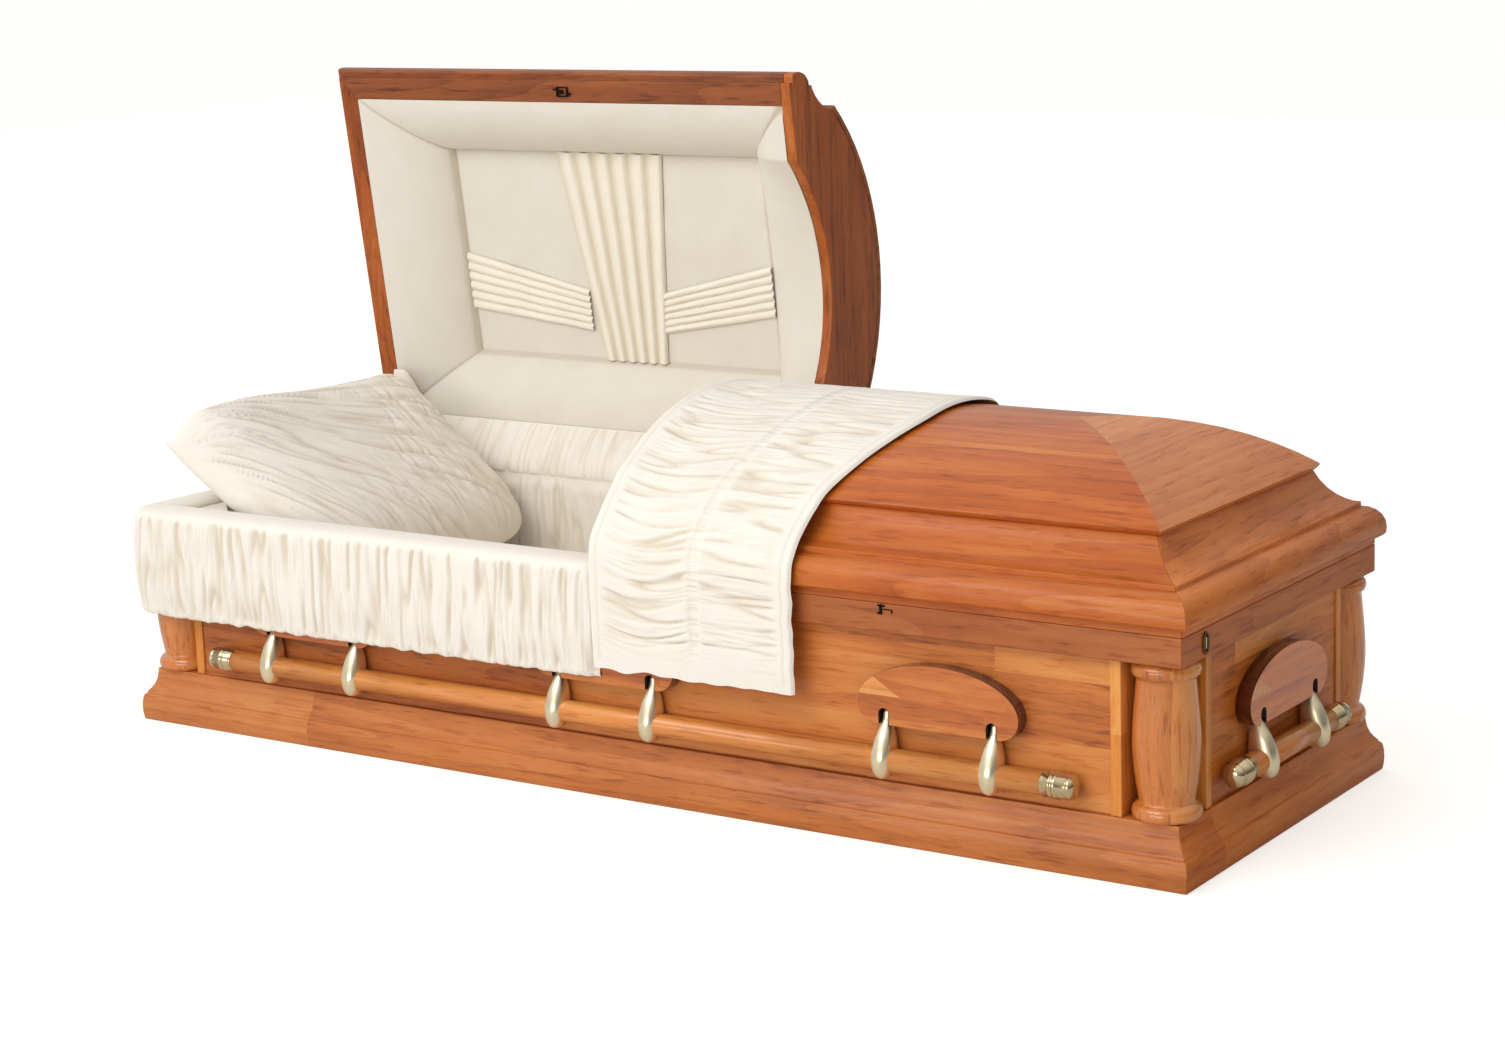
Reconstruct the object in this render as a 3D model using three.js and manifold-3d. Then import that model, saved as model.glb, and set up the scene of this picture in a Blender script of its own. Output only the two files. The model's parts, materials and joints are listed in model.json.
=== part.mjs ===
// A half-couch casket of stained hardwood: a panelled body on a moulded base, turned columns in its
// corners, a domed lid in two halves, swing-bar handles, and a shirred cloth interior.
// Millimetres, +Z up. X runs from the head end (-X) to the foot end (+X), the front faces -Y, and the
// origin is the centre of the underside. An inset is a distance in from the edge of the footprint.
import * as THREE from 'three';
import Module from 'manifold-3d';
import { mergeVertices } from 'three/addons/utils/BufferGeometryUtils.js';

const wasm = await Module();
wasm.setup();

// Driving dimensions of the whole casket
const footprintLength = 2108;
const footprintWidth = 730;
const touchGap = 0.3; // between pieces that touch
const frameInset = 52; // inner faces of the base moulding, the top rails and the lid's cap moulding

// Base
const baseHeight = 94.9;
const plinthHeight = 47.4; // the rounded lower band
const plinthBulge = 2;
const grooveDepth = 3.4;
const baseTopInset = 21.9; // where the cove ends
const bottomThickness = 20;

// Walls and top rails
const wallInset = 28;
const wallThickness = 20;
const wallHeight = 241.3;
const railInset = 12.1;
const railHeight = 45.7;
const railEdge = 1.2;

// Corner columns and posts
const columnInset = 62; // the column's axis
const ringRadius = 53;
const bellyRadius = 51.5;
const neckRadius = 44.5;
const footNeckRadius = 42; // above the lower ring
const ringHeight = 25;
const bayClearance = 3; // between the column's rings and the hollow of its post
const postWall = 14; // wood behind the hollow
const stripInset = 25;
const stripWidth = 18;

// Lids
const splitPosition = -8;
const splitGap = 0.6;
const headerThickness = 20;
const rimHeight = 13.1;
const bullnoseHeight = 51.3;
const bullnoseInset = 29.1; // where its top edge meets the fillet
const capBulge = 2.5; // how far it stands past the footprint
const filletHeight = 7.9;
const filletDepth = 5.3;
const coveTopSetback = 9; // behind the crown's lip
const capWall = 18;
const crownInset = 78.2;
const crownLipHeight = 139.2; // above the top rails
const crownRise = 104;
const crownThickness = 12;
const crownSteps = 9;
const archHalfWidth = 215;
const archRise = 71;
const archSteps = 11;

// Hinges and the open lid
const hingeStandOff = 21; // axis behind the top rail's face
const hingeLift = 20.5; // axis above the top rail
const openAngle = 82.5;
const hingeLength = 90;
const hingePlate = 2.6;
const leafHeight = 34;
const leafDrop = 3; // leaf's upper edge below the top rail's upper face
const knuckleClearance = 0.5;
const hingeFromSplit = 260;
const hingeFromEnd = 254;

// Ear boards and swing bars
const earWidth = 284;
const earHeight = 102;
const earThickness = 26;
const earCorner = 34;
const earBottomHeight = 193;
const earFromEnd = 420; // outer ears' middle from the ends of the footprint
const slotSpacing = 190;
const slotWidth = 19;
const slotHeight = 26;
const barRadius = 18.5;
const barHeight = 137;
const barStandOff = 24.3; // bar's axis from the wall's face
const barOverhang = 146; // past the outer arm of a long bar
const shortBarOverhang = 113;
const capLength = 58;
const capStep = 1.4; // end cap's sleeve over the bar
const capRing = 1.2; // raised ring over the sleeve
const pivotBelowSlotTop = 10;
const armWallClearance = 2.4;
const armShankWidth = 12; // in the slot
const armShankDepth = 13;
const armNeckDrop = 3; // below the ear
const armWidth = 27; // at the bar
const armFront = 7.4; // its front ridge before the bar
const armToe = 10; // below the bar

// Small fittings
const latchPosition = -505;
const latchSize = [44, 24, 2.4];
const keeperPosition = 533;
const keeperSize = [26, 2.2, 13];
const keeperDrop = 3;
const lockPlatePosition = -276;
const lockPlateWidth = 20;
const lockPlateHeight = 34;
const lockPlateThickness = 2.4;

// Cloth and padding
const liningThickness = 16;
const mattressTop = 232;
const mattressEdge = 18;
const liningTopDrop = 0.6;
const softGap = 1.5; // between pads
const lidPanelDepth = 80; // recessed panel above the rim
const lidBorderWidth = 111; // along the long sides and the split
const lidEndBorderWidth = 156;
const lidLiningWall = 12;
const pillowTopHeight = 560;
const pillowReach = 375; // from the head end's inner face to the foot edge
const pillowEdge = 26;
const pillowHeel = 60; // bevel where the mattress meets the lining
const pillowTopBack = 20; // its upper edge inside the inner face of the head end
const pillowOverhang = 32; // past the inner face of the head end, above the rim
const pillowHalfWidth = 286;
const pillowRimHeight = 24; // underside above the rim where it leans over
const apronThickness = 10;
const apronHem = 208;
const apronEndHem = 236;
const apronRoll = 16;
const apronEndRoll = 2.2;
const apronClearance = 0.6; // outside the ear boards
const apronBackStop = 85; // short of the back rail's face
const apronInnerInset = 66;
const throwHem = 224;
const throwThickness = 5;
const throwClearance = 0.7;
const throwWidth = 380;
const throwFlare = 82; // wider at the ridge
const throwBackLift = 6; // of its back edge above the fillet

// Heights and places that follow
const halfLength = footprintLength / 2;
const halfWidth = footprintWidth / 2;
const earPitch = halfLength - earFromEnd;
const wallBottom = baseHeight + touchGap;
const wallTop = wallBottom + wallHeight;
const railBottom = wallTop + touchGap;
const railTop = railBottom + railHeight;
const lidBottom = railTop + touchGap;
const bayRadius = ringRadius + bayClearance;
const bayEdge = columnInset + bayRadius;
const postReach = bayEdge + stripWidth;
const postDiagonal = 2 * columnInset + (bayRadius + postWall) * Math.SQRT2;
const crownHalf = halfWidth - crownInset;
const crownRadius = (crownHalf ** 2 + crownRise ** 2) / (2 * crownRise);
const crownAngle = Math.asin(crownHalf / crownRadius);
const crownCentre = railTop + crownLipHeight - crownRadius * Math.cos(crownAngle);
const coveTopInset = crownInset + coveTopSetback;
const hingeY = halfWidth - railInset + hingeStandOff;
const hingeZ = railTop + hingeLift;
const pivotStandOff = earThickness / 2;
const pivotHeight = earBottomHeight + slotHeight - pivotBelowSlotTop;

// Wood, cloth and metal
const finish = (color, roughness, metalness = 0) => () =>
  new THREE.MeshStandardMaterial({ color, roughness, metalness });
const baseWood = finish(0xb4642f, 0.45);
const wallWood = finish(0xae6134, 0.45);
const railWood = finish(0x96502f, 0.45);
const stripWood = finish(0xcf8440, 0.45);
const columnWood = finish(0xb26a34, 0.35);
const lidWood = finish(0xbb6a30, 0.4);
const openLidWood = finish(0x94502c, 0.4);
const barWood = finish(0xbf6f2c, 0.4);
const cloth = finish(0xefe9de, 0.9);
const brass = finish(0xc7b284, 0.35, 0.9);

const casket = new THREE.Group();

function addMesh(name, geometry, material, group = casket) {
  const mesh = new THREE.Mesh(geometry, material());
  mesh.name = name;
  group.add(mesh);
  return mesh;
}

// A closed geometry from points and triangles, with its faces turned outwards
function closedGeometry(points, triangles) {
  const corner = points.map((p) => new THREE.Vector3(...p));
  const real = triangles.filter(([a, b, c]) => {
    const ab = corner[b].clone().sub(corner[a]);
    return ab.cross(corner[c].clone().sub(corner[a])).length() > 1e-6;
  });
  let volume = 0;
  for (const [a, b, c] of real) {
    volume += corner[a].dot(corner[b].clone().cross(corner[c]));
  }
  const index = real.flatMap(([a, b, c]) => (volume < 0 ? [a, c, b] : [a, b, c]));
  const geometry = new THREE.BufferGeometry();
  geometry.setAttribute('position', new THREE.Float32BufferAttribute(points.flat(), 3));
  geometry.setIndex(index);
  return geometry;
}

// Newell's normal of a flat ring
function ringNormal(ring) {
  const normal = new THREE.Vector3();
  ring.forEach((p, i) => {
    const q = ring[(i + 1) % ring.length];
    normal.x += (p[1] - q[1]) * (p[2] + q[2]);
    normal.y += (p[2] - q[2]) * (p[0] + q[0]);
    normal.z += (p[0] - q[0]) * (p[1] + q[1]);
  });
  return normal;
}

// Triangles over the end of a loft, facing along its normal (sign 1) or against it (sign -1)
function capTriangles(ring, start, sign) {
  const normal = ringNormal(ring);
  const size = normal.toArray().map(Math.abs);
  const drop = size.indexOf(Math.max(...size));
  const keep = [0, 1, 2].filter((axis) => axis !== drop);
  const flat = ring.map((p) => new THREE.Vector2(p[keep[0]], p[keep[1]]));
  return THREE.ShapeUtils.triangulateShape(flat, []).map(([a, b, c]) => {
    const facing = ringNormal([ring[a], ring[b], ring[c]]).dot(normal) * sign;
    return facing > 0 ? [start + a, start + b, start + c] : [start + a, start + c, start + b];
  });
}

// Skin through rings of equal length. A looped loft joins its last ring to its first, and an open seam
// leaves out the strip that closes each ring, where two halves of a shape meet.
function loft(rings, { looped = false, openSeam = false } = {}) {
  const n = rings[0].length;
  const triangles = [];
  const spans = looped ? rings.length : rings.length - 1;
  for (let r = 0; r < spans; r += 1) {
    for (let i = 0; i < (openSeam ? n - 1 : n); i += 1) {
      const a = r * n + i;
      const b = r * n + ((i + 1) % n);
      const c = ((r + 1) % rings.length) * n + ((i + 1) % n);
      const d = ((r + 1) % rings.length) * n + i;
      triangles.push([a, b, c], [a, c, d]);
    }
  }
  if (!looped) {
    const last = rings.length - 1;
    triangles.push(...capTriangles(rings[0], 0, -1));
    triangles.push(...capTriangles(rings[last], last * n, 1));
  }
  return closedGeometry(rings.flat(), triangles);
}

function prism(outline, low, high, place) {
  return loft([low, high].map((level) => outline.map(([a, b]) => place(a, b, level))));
}

function box(low, high) {
  const geometry = new THREE.BoxGeometry(...high.map((value, i) => value - low[i]));
  geometry.translate(...high.map((value, i) => (value + low[i]) / 2));
  return geometry;
}

// Points of a quadratic curve after its first point
function curve(from, control, to, steps) {
  const points = [];
  for (let i = 1; i <= steps; i += 1) {
    const t = i / steps;
    points.push([0, 1].map((k) =>
      (1 - t) ** 2 * from[k] + 2 * t * (1 - t) * control[k] + t ** 2 * to[k]));
  }
  return points;
}

// Points of an ellipse's arc, its angles in radians
function arc([cx, cy], [rx, ry], from, to, steps) {
  return Array.from({ length: steps + 1 }, (_, i) => {
    const angle = from + ((to - from) * i) / steps;
    return [cx + rx * Math.cos(angle), cy + ry * Math.sin(angle)];
  });
}

// The four sides: where a point lies that is s along the side, an inset in from it and z up
const sides = {
  front: { half: halfLength, place: (s, inset, z) => [s, -(halfWidth - inset), z] },
  back: { half: halfLength, place: (s, inset, z) => [s, halfWidth - inset, z] },
  head: { half: halfWidth, place: (s, inset, z) => [-(halfLength - inset), s, z] },
  foot: { half: halfWidth, place: (s, inset, z) => [halfLength - inset, s, z] },
};

// A moulding along one side, mitred at an end that has no square cut
function moulding(side, profile, cutLow = null, cutHigh = null) {
  const mitre = (inset) => side.half - inset - touchGap;
  return loft([
    profile.map(([inset, z]) => side.place(cutLow ?? -mitre(inset), inset, z)),
    profile.map(([inset, z]) => side.place(cutHigh ?? mitre(inset), inset, z)),
  ]);
}

// Base: a rounded plinth band, a groove and a cove, with the bottom board inside it
const grooveInset = plinthBulge + grooveDepth;
const baseProfile = [
  [plinthBulge, 0],
  [0, 2],
  ...curve([0, 2], [-2 * plinthBulge, plinthHeight / 2], [0, plinthHeight - 5], 4),
  [plinthBulge, plinthHeight],
  [grooveInset, plinthHeight + 1.5],
  [grooveInset, plinthHeight + 4],
  ...curve([grooveInset - 1.5, plinthHeight + 5],
    [baseTopInset - 3, plinthHeight + 13], [baseTopInset, baseHeight - 5], 4),
  [baseTopInset, baseHeight],
  [frameInset, baseHeight],
  [frameInset, 0],
];
for (const [name, side] of Object.entries(sides)) {
  addMesh(`base_moulding_${name}`, moulding(side, baseProfile), baseWood);
}
const boardHalf = [halfLength, halfWidth].map((half) => half - frameInset - touchGap);
addMesh('bottom_board',
  box([-boardHalf[0], -boardHalf[1], 0], [boardHalf[0], boardHalf[1], bottomThickness]), baseWood);

// Walls between the corner posts, and the top rails above them
const wallProfile = [
  [wallInset, wallBottom],
  [wallInset, wallTop],
  [wallInset + wallThickness, wallTop],
  [wallInset + wallThickness, wallBottom],
];
const railProfile = [
  [railInset + railEdge, railBottom],
  [railInset, railBottom + railEdge],
  [railInset, railTop - railEdge],
  [railInset + railEdge, railTop],
  [frameInset, railTop],
  [frameInset, railBottom],
];
for (const [name, side] of Object.entries(sides)) {
  const wallEnd = side.half - postReach - touchGap;
  addMesh(`wall_${name}`, moulding(side, wallProfile, -wallEnd, wallEnd), wallWood);
  addMesh(`top_rail_${name}`, moulding(side, railProfile), railWood);
}

// Corner posts: two edge strips joined behind a round hollow, with a turned column standing in it
const postInner = postDiagonal - postReach;
const postOutline = [
  [postReach, stripInset],
  [bayEdge, stripInset],
  ...arc([columnInset, columnInset], [bayRadius, bayRadius], 0, Math.PI / 2, 5),
  [stripInset, bayEdge],
  [stripInset, postReach],
  [postInner, postReach],
  [postReach, postInner],
];
const columnProfile = [
  [0, 0],
  [ringRadius - 4, 0],
  [ringRadius, ringHeight * 0.35],
  [ringRadius - 2, ringHeight * 0.75],
  [footNeckRadius + 3, ringHeight],
  ...curve([footNeckRadius, ringHeight + 2], [2 * bellyRadius - (footNeckRadius + neckRadius) / 2,
    wallHeight * 0.46], [neckRadius, wallHeight - ringHeight - 2], 5),
  [ringRadius - 4, wallHeight - ringHeight],
  [ringRadius - 1, wallHeight - ringHeight * 0.5],
  [neckRadius, wallHeight],
  [0, wallHeight],
].map(([radius, z]) => new THREE.Vector2(radius, z));
const ends = [['head', -1], ['foot', 1]];
const faces = [['front', -1], ['back', 1]];
for (const [faceName, ySign] of faces) {
  for (const [endName, xSign] of ends) {
    const place = (a, b, z) => [xSign * (halfLength - a), ySign * (halfWidth - b), z];
    addMesh(`corner_post_${faceName}_${endName}`,
      prism(postOutline, wallBottom, wallTop, place), stripWood);
    const turned = new THREE.LatheGeometry(columnProfile, 16);
    turned.rotateX(Math.PI / 2);
    const column = addMesh(`column_${faceName}_${endName}`, turned, columnWood);
    column.position.set(...place(columnInset, columnInset, wallBottom));
  }
}

// Lid: cap mouldings round the edge, a hipped crown board over them, a header across the split
const crownFacetSag = crownRadius * (1 - Math.cos(crownAngle / crownSteps / 2));
const underRadius = crownRadius - crownThickness - crownFacetSag - touchGap;
const crownUnder = (inset) =>
  crownCentre + Math.sqrt(underRadius ** 2 - (halfWidth - inset) ** 2);
const rimTop = lidBottom + rimHeight;
const bullnoseTop = rimTop + bullnoseHeight;
const filletTop = bullnoseTop + filletHeight;
const filletInset = bullnoseInset + filletDepth;
const noseCentre = rimTop + bullnoseHeight * 0.28;
const noseRadii = [bullnoseInset + capBulge, bullnoseTop - noseCentre];
const capFace = [
  [railInset, lidBottom],
  [railInset, rimTop],
  [capBulge, rimTop],
  [-capBulge * 0.7, rimTop + 4],
  ...arc([bullnoseInset, noseCentre], noseRadii, Math.PI, Math.PI / 2, 5),
  [bullnoseInset, filletTop],
  [filletInset, filletTop],
  ...curve([filletInset, filletTop], [filletInset + capWall * 2, filletTop + capWall * 0.85],
    [coveTopInset, crownUnder(coveTopInset)], 5),
];
const capProfile = [
  ...capFace,
  [coveTopInset + capWall, crownUnder(coveTopInset + capWall)],
  [coveTopInset + capWall - 4, crownUnder(coveTopInset) - capWall],
  [frameInset, filletTop - capWall],
  [frameInset, lidBottom],
];

// Section of half the crown, from under its ridge out to its lip and back over it: [half width, height]
const crownArc = (radius) => Array.from({ length: crownSteps + 1 }, (_, i) => {
  const angle = crownAngle * (1 - i / crownSteps);
  return [radius * Math.sin(angle), crownCentre + radius * Math.cos(angle)];
});
const crownSection = [...crownArc(crownRadius - crownThickness).reverse(), ...crownArc(crownRadius)];

function crownGeometry(cut, xSign) {
  const hip = (out) => xSign * (halfLength - halfWidth + out);
  return loft([
    crownSection.map(([out, z]) => [cut, -out, z]),
    crownSection.map(([out, z]) => [hip(out), -out, z]),
    crownSection.map(([out, z]) => [hip(out), out, z]),
    crownSection.map(([out, z]) => [cut, out, z]),
  ], { openSeam: true });
}

// Header outline: the cap's outer face, the underside of the crown, and the arch below
const underAngle = Math.asin((halfWidth - coveTopInset) / underRadius);
const frontFace = capFace.slice(0, -1).map(([inset, z]) => [-(halfWidth - inset), z]);
const archRadius = (archHalfWidth ** 2 + archRise ** 2) / (2 * archRise);
const archAngle = Math.asin(archHalfWidth / archRadius);
const headerOutline = [
  ...frontFace,
  ...arc([0, crownCentre], [underRadius, underRadius],
    Math.PI / 2 + underAngle, Math.PI / 2 - underAngle, crownSteps),
  ...frontFace.map(([y, z]) => [-y, z]).reverse(),
  ...arc([0, lidBottom + archRise - archRadius], [archRadius, archRadius],
    Math.PI / 2 - archAngle, Math.PI / 2 + archAngle, archSteps),
];

// A lid's soft lining: a padded border that rises from the rim, and from the header's arch, to a
// recessed panel. It is a grid of points, the cloth's face below and the padding's back above.
const borderRise = [[0, 0.02], [0.3, 0.07], [0.62, 0.3], [1, 1]]; // [share of its width, of its height]
function borderHeight(share) {
  const i = borderRise.findIndex(([at]) => share <= at + 1e-9);
  if (i < 1) {
    return (i < 0 ? borderRise[borderRise.length - 1] : borderRise[0])[1] * lidPanelDepth;
  }
  const [[from, low], [to, high]] = [borderRise[i - 1], borderRise[i]];
  return (low + ((high - low) * (share - from)) / (to - from)) * lidPanelDepth;
}
function archHeight(y) {
  const rise = archRise - archRadius + Math.sqrt(Math.max(0, archRadius ** 2 - y ** 2));
  return Math.min(Math.max(0, rise), lidPanelDepth);
}
function lidLiningGeometry(xSign, innerCut) {
  const start = xSign * innerCut + touchGap;
  const end = halfLength - frameInset - touchGap;
  const side = halfWidth - frameInset - touchGap;
  const shares = borderRise.map(([at]) => at);
  const back = [...shares].reverse();
  const xs = [
    ...shares.map((share) => start + share * lidBorderWidth),
    ...back.map((share) => end - share * lidEndBorderWidth),
  ];
  const ys = [
    ...shares.map((share) => -side + share * lidBorderWidth),
    ...[-0.7, -0.28, 0.28, 0.7].map((share) => share * archHalfWidth),
    ...back.map((share) => side - share * lidBorderWidth),
  ];
  const height = (x, y) => {
    const around = Math.min((side - Math.abs(y)) / lidBorderWidth, (end - x) / lidEndBorderWidth, 1);
    const fromSplit = Math.min((x - start) / lidBorderWidth, 1);
    const arch = archHeight(y);
    return Math.min(borderHeight(around), arch + (1 - arch / lidPanelDepth) * borderHeight(fromSplit));
  };
  const points = [];
  for (const wall of [0, lidLiningWall]) {
    for (const x of xs) {
      for (const y of ys) {
        points.push([xSign * x, y, lidBottom + height(x, y) + wall]);
      }
    }
  }
  const n = ys.length;
  const under = xs.length * n;
  const triangles = [];
  const quad = (a, b, c, d) => triangles.push([a, b, c], [a, c, d]);
  for (let i = 0; i < xs.length - 1; i += 1) {
    for (let j = 0; j < n - 1; j += 1) {
      const at = i * n + j;
      quad(at, at + 1, at + n + 1, at + n);
      quad(under + at, under + at + n, under + at + n + 1, under + at + 1);
    }
    const last = i * n + n - 1;
    quad(i * n, (i + 1) * n, under + (i + 1) * n, under + i * n);
    quad(last, under + last, under + last + n, last + n);
  }
  for (let j = 0; j < n - 1; j += 1) {
    const last = (xs.length - 1) * n + j;
    quad(j, under + j, under + j + 1, j + 1);
    quad(last, last + 1, under + last + 1, under + last);
  }
  return closedGeometry(points, triangles);
}

function addLid(name, xSign, group, wood) {
  const cut = splitPosition + (xSign * splitGap) / 2;
  const headerBack = cut + xSign * headerThickness;
  const innerCut = headerBack + xSign * touchGap;
  const span = xSign < 0 ? [null, innerCut] : [innerCut, null];
  addMesh(`${name}_cap_front`, moulding(sides.front, capProfile, ...span), wood, group);
  addMesh(`${name}_cap_back`, moulding(sides.back, capProfile, ...span), wood, group);
  const end = xSign < 0 ? sides.head : sides.foot;
  addMesh(`${name}_cap_end`, moulding(end, capProfile), wood, group);
  addMesh(`${name}_crown`, crownGeometry(cut, xSign), wood, group);
  addMesh(`${name}_header`,
    prism(headerOutline, cut, headerBack, (y, z, x) => [x, y, z]), wood, group);
  addMesh(`${name}_lining`, lidLiningGeometry(xSign, innerCut), cloth, group);
}

addLid('foot_lid', 1, casket, lidWood);

// The head lid turns back about the hinge axis
const headLid = new THREE.Group();
headLid.position.set(0, hingeY, hingeZ);
headLid.rotation.x = -THREE.MathUtils.degToRad(openAngle);
const headLidClosed = new THREE.Group();
headLidClosed.position.set(0, -hingeY, -hingeZ);
headLid.add(headLidClosed);
casket.add(headLid);
addLid('head_lid', -1, headLidClosed, openLidWood);

// Head lid latch: a plate under the rim
const rimMiddle = (railInset + frameInset) / 2;
const latchTop = lidBottom - touchGap;
addMesh('head_lid_latch', box(
  [latchPosition - latchSize[0] / 2, -(halfWidth - rimMiddle) - latchSize[1] / 2, latchTop - latchSize[2]],
  [latchPosition + latchSize[0] / 2, -(halfWidth - rimMiddle) + latchSize[1] / 2, latchTop],
), brass, headLidClosed);

// Foot lid keeper on the front rail, and the oval lock plate on the foot rail
const railFace = halfWidth - railInset + touchGap;
addMesh('foot_lid_latch', box(
  [keeperPosition - keeperSize[0] / 2, -railFace - keeperSize[1], railTop - keeperDrop - keeperSize[2]],
  [keeperPosition + keeperSize[0] / 2, -railFace, railTop - keeperDrop],
), brass);
const lockPlateOutline = arc([lockPlatePosition, (railBottom + railTop) / 2],
  [lockPlateWidth / 2, lockPlateHeight / 2], 0, 2 * Math.PI, 12).slice(0, -1);
const lockPlateBack = halfLength - railInset + touchGap;
addMesh('lock_plate', prism(lockPlateOutline, lockPlateBack, lockPlateBack + lockPlateThickness,
  (y, z, x) => [x, y, z]), brass);

// Hinges: a leaf on the back rail, cranked out to a knuckle behind the bullnose
const knuckleRadius = hingeStandOff - railInset - capBulge - knuckleClearance;
const leafBack = halfWidth - railInset + touchGap;
const leafTop = railTop - leafDrop;
const crank = hingePlate / 2;
const crankAngle = Math.asin(crank / knuckleRadius);
const hingeOutline = [
  [leafBack, leafTop - leafHeight],
  [leafBack + hingePlate, leafTop - leafHeight],
  [leafBack + hingePlate, leafTop - hingePlate],
  [hingeY + crank, leafTop - hingePlate],
  ...arc([hingeY, hingeZ], [knuckleRadius, knuckleRadius],
    -Math.PI / 2 + crankAngle, (3 * Math.PI) / 2 - crankAngle, 8),
  [hingeY - crank, leafTop],
  [leafBack, leafTop],
];
for (const [lidName, xSign] of [['head_lid', -1], ['foot_lid', 1]]) {
  const middles = { inner: hingeFromSplit, outer: halfLength - hingeFromEnd };
  for (const [place, fromSplit] of Object.entries(middles)) {
    const middle = xSign * fromSplit;
    addMesh(`${lidName}_hinge_${place}`, prism(hingeOutline,
      middle - hingeLength / 2, middle + hingeLength / 2, (y, z, x) => [x, y, z]), brass);
  }
}

// Ear boards: half-oval, with two keyhole slots open below. Local x is along the wall, -y is outwards.
const slotHalf = slotWidth / 2;
const slotStraight = slotHeight - slotHalf;
const slotOutline = (centre) => [
  [centre + slotHalf, 0],
  ...arc([centre, slotStraight], [slotHalf, slotHalf], 0, Math.PI, 4),
  [centre - slotHalf, 0],
];
const earHalf = earWidth / 2;
const earOutline = [
  ...slotOutline(slotSpacing / 2),
  ...slotOutline(-slotSpacing / 2),
  ...arc([-(earHalf - earCorner), earCorner], [earCorner, earCorner], -Math.PI / 2, -Math.PI, 4),
  ...arc([0, earCorner], [earHalf, earHeight - earCorner], Math.PI, 0, 11).slice(1, -1),
  ...arc([earHalf - earCorner, earCorner], [earCorner, earCorner], 0, -Math.PI / 2, 4),
];
const wallFaces = {
  front: [0, -(halfWidth - wallInset), 0],
  back: [0, halfWidth - wallInset, Math.PI],
  head: [-(halfLength - wallInset), 0, -Math.PI / 2],
  foot: [halfLength - wallInset, 0, Math.PI / 2],
};

// Sets a piece made against the plane y = 0 onto the face of a wall, s along it
function setOnWall(mesh, side, s = 0) {
  const [x, y, turn] = wallFaces[side];
  mesh.rotation.z = turn;
  mesh.position.set(x + s * Math.cos(turn), y + s * Math.sin(turn), 0);
}

function addEar(name, side, s) {
  const geometry = prism(earOutline, touchGap, earThickness,
    (x, z, out) => [x, -out, earBottomHeight + z]);
  setOnWall(addMesh(name, geometry, wallWood), side, s);
}
for (const [faceName] of faces) {
  addEar(`ear_${faceName}_left`, faceName, -earPitch);
  addEar(`ear_${faceName}_middle`, faceName, 0);
  addEar(`ear_${faceName}_right`, faceName, earPitch);
}
addEar('ear_head', 'head', 0);
addEar('ear_foot', 'foot', 0);

// Swing bars: a round bar with ringed caps, carried by cast arms that hang in the ears' slots
const toManifold = (geometry) => {
  const bare = geometry.clone();
  bare.deleteAttribute('normal');
  bare.deleteAttribute('uv');
  const merged = mergeVertices(bare, 1e-4);
  return new wasm.Manifold(new wasm.Mesh({
    numProp: 3,
    vertProperties: new Float32Array(merged.attributes.position.array),
    triVerts: new Uint32Array(merged.index.array),
  }));
};
const fromManifold = (manifold) => {
  const mesh = manifold.getMesh();
  const geometry = new THREE.BufferGeometry();
  geometry.setAttribute('position', new THREE.BufferAttribute(mesh.vertProperties, 3));
  geometry.setIndex(new THREE.BufferAttribute(mesh.triVerts, 1));
  return geometry;
};

// An arm's cross-section, with its ridge a little to one side in front, and its levels down from the
// pivot: [height, distance out from the wall, half thickness along the wall, half depth]
const armSection = [[0.2, -1], [0.86, -0.72], [1, 0.1], [0.6, 1], [-0.6, 1], [-1, 0.1], [-0.7, -0.84]];
const armReach = barStandOff + barRadius + armFront;
const armMiddle = (armReach + armWallClearance) / 2;
const armDepth = (armReach - armWallClearance) / 2;
const armLevels = [
  [pivotHeight + armShankDepth / 2, pivotStandOff, armShankWidth / 4, armShankDepth / 4],
  [pivotHeight, pivotStandOff, armShankWidth / 2, armShankDepth / 2],
  [earBottomHeight - armNeckDrop, pivotStandOff + armNeckDrop, armWidth / 3, armShankDepth * 0.75],
  [(earBottomHeight + barHeight) / 2, armMiddle - armNeckDrop, armWidth * 0.45, armDepth * 0.78],
  [barHeight, armMiddle, armWidth / 2, armDepth],
  [barHeight - barRadius, armMiddle, armWidth * 0.4, armDepth * 0.82],
  [barHeight - barRadius - armToe, armMiddle, armWidth / 5, armDepth * 0.45],
];
const armGeometry = (s) => loft(armLevels.map(([z, out, thick, deep]) =>
  armSection.map(([a, b]) => [s + a * thick, -out + b * deep, z])));

function barGeometry(half, arms) {
  const sleeve = barRadius + capStep;
  const tip = [
    [0, 0],
    [barRadius * 0.68, 1.5],
    [sleeve - 0.6, capLength * 0.18],
    [sleeve + capRing, capLength * 0.54],
    [sleeve + capRing, capLength * 0.64],
    [sleeve, capLength * 0.68],
    [sleeve, capLength],
    [barRadius, capLength],
  ];
  const profile = [
    ...tip.map(([radius, along]) => [radius, along - half]),
    ...tip.map(([radius, along]) => [radius, half - along]).reverse(),
  ].map(([radius, along]) => new THREE.Vector2(radius, along));
  const bar = new THREE.LatheGeometry(profile, 12);
  bar.rotateZ(-Math.PI / 2);
  bar.translate(0, -barStandOff, barHeight);
  let joined = toManifold(bar);
  for (const s of arms) {
    joined = joined.add(toManifold(armGeometry(s)));
  }
  return fromManifold(joined);
}
const pair = (centre) => [centre - slotSpacing / 2, centre + slotSpacing / 2];
const longArms = [-earPitch, 0, earPitch].flatMap(pair);
const longBarHalf = Math.max(...longArms) + barOverhang;
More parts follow.
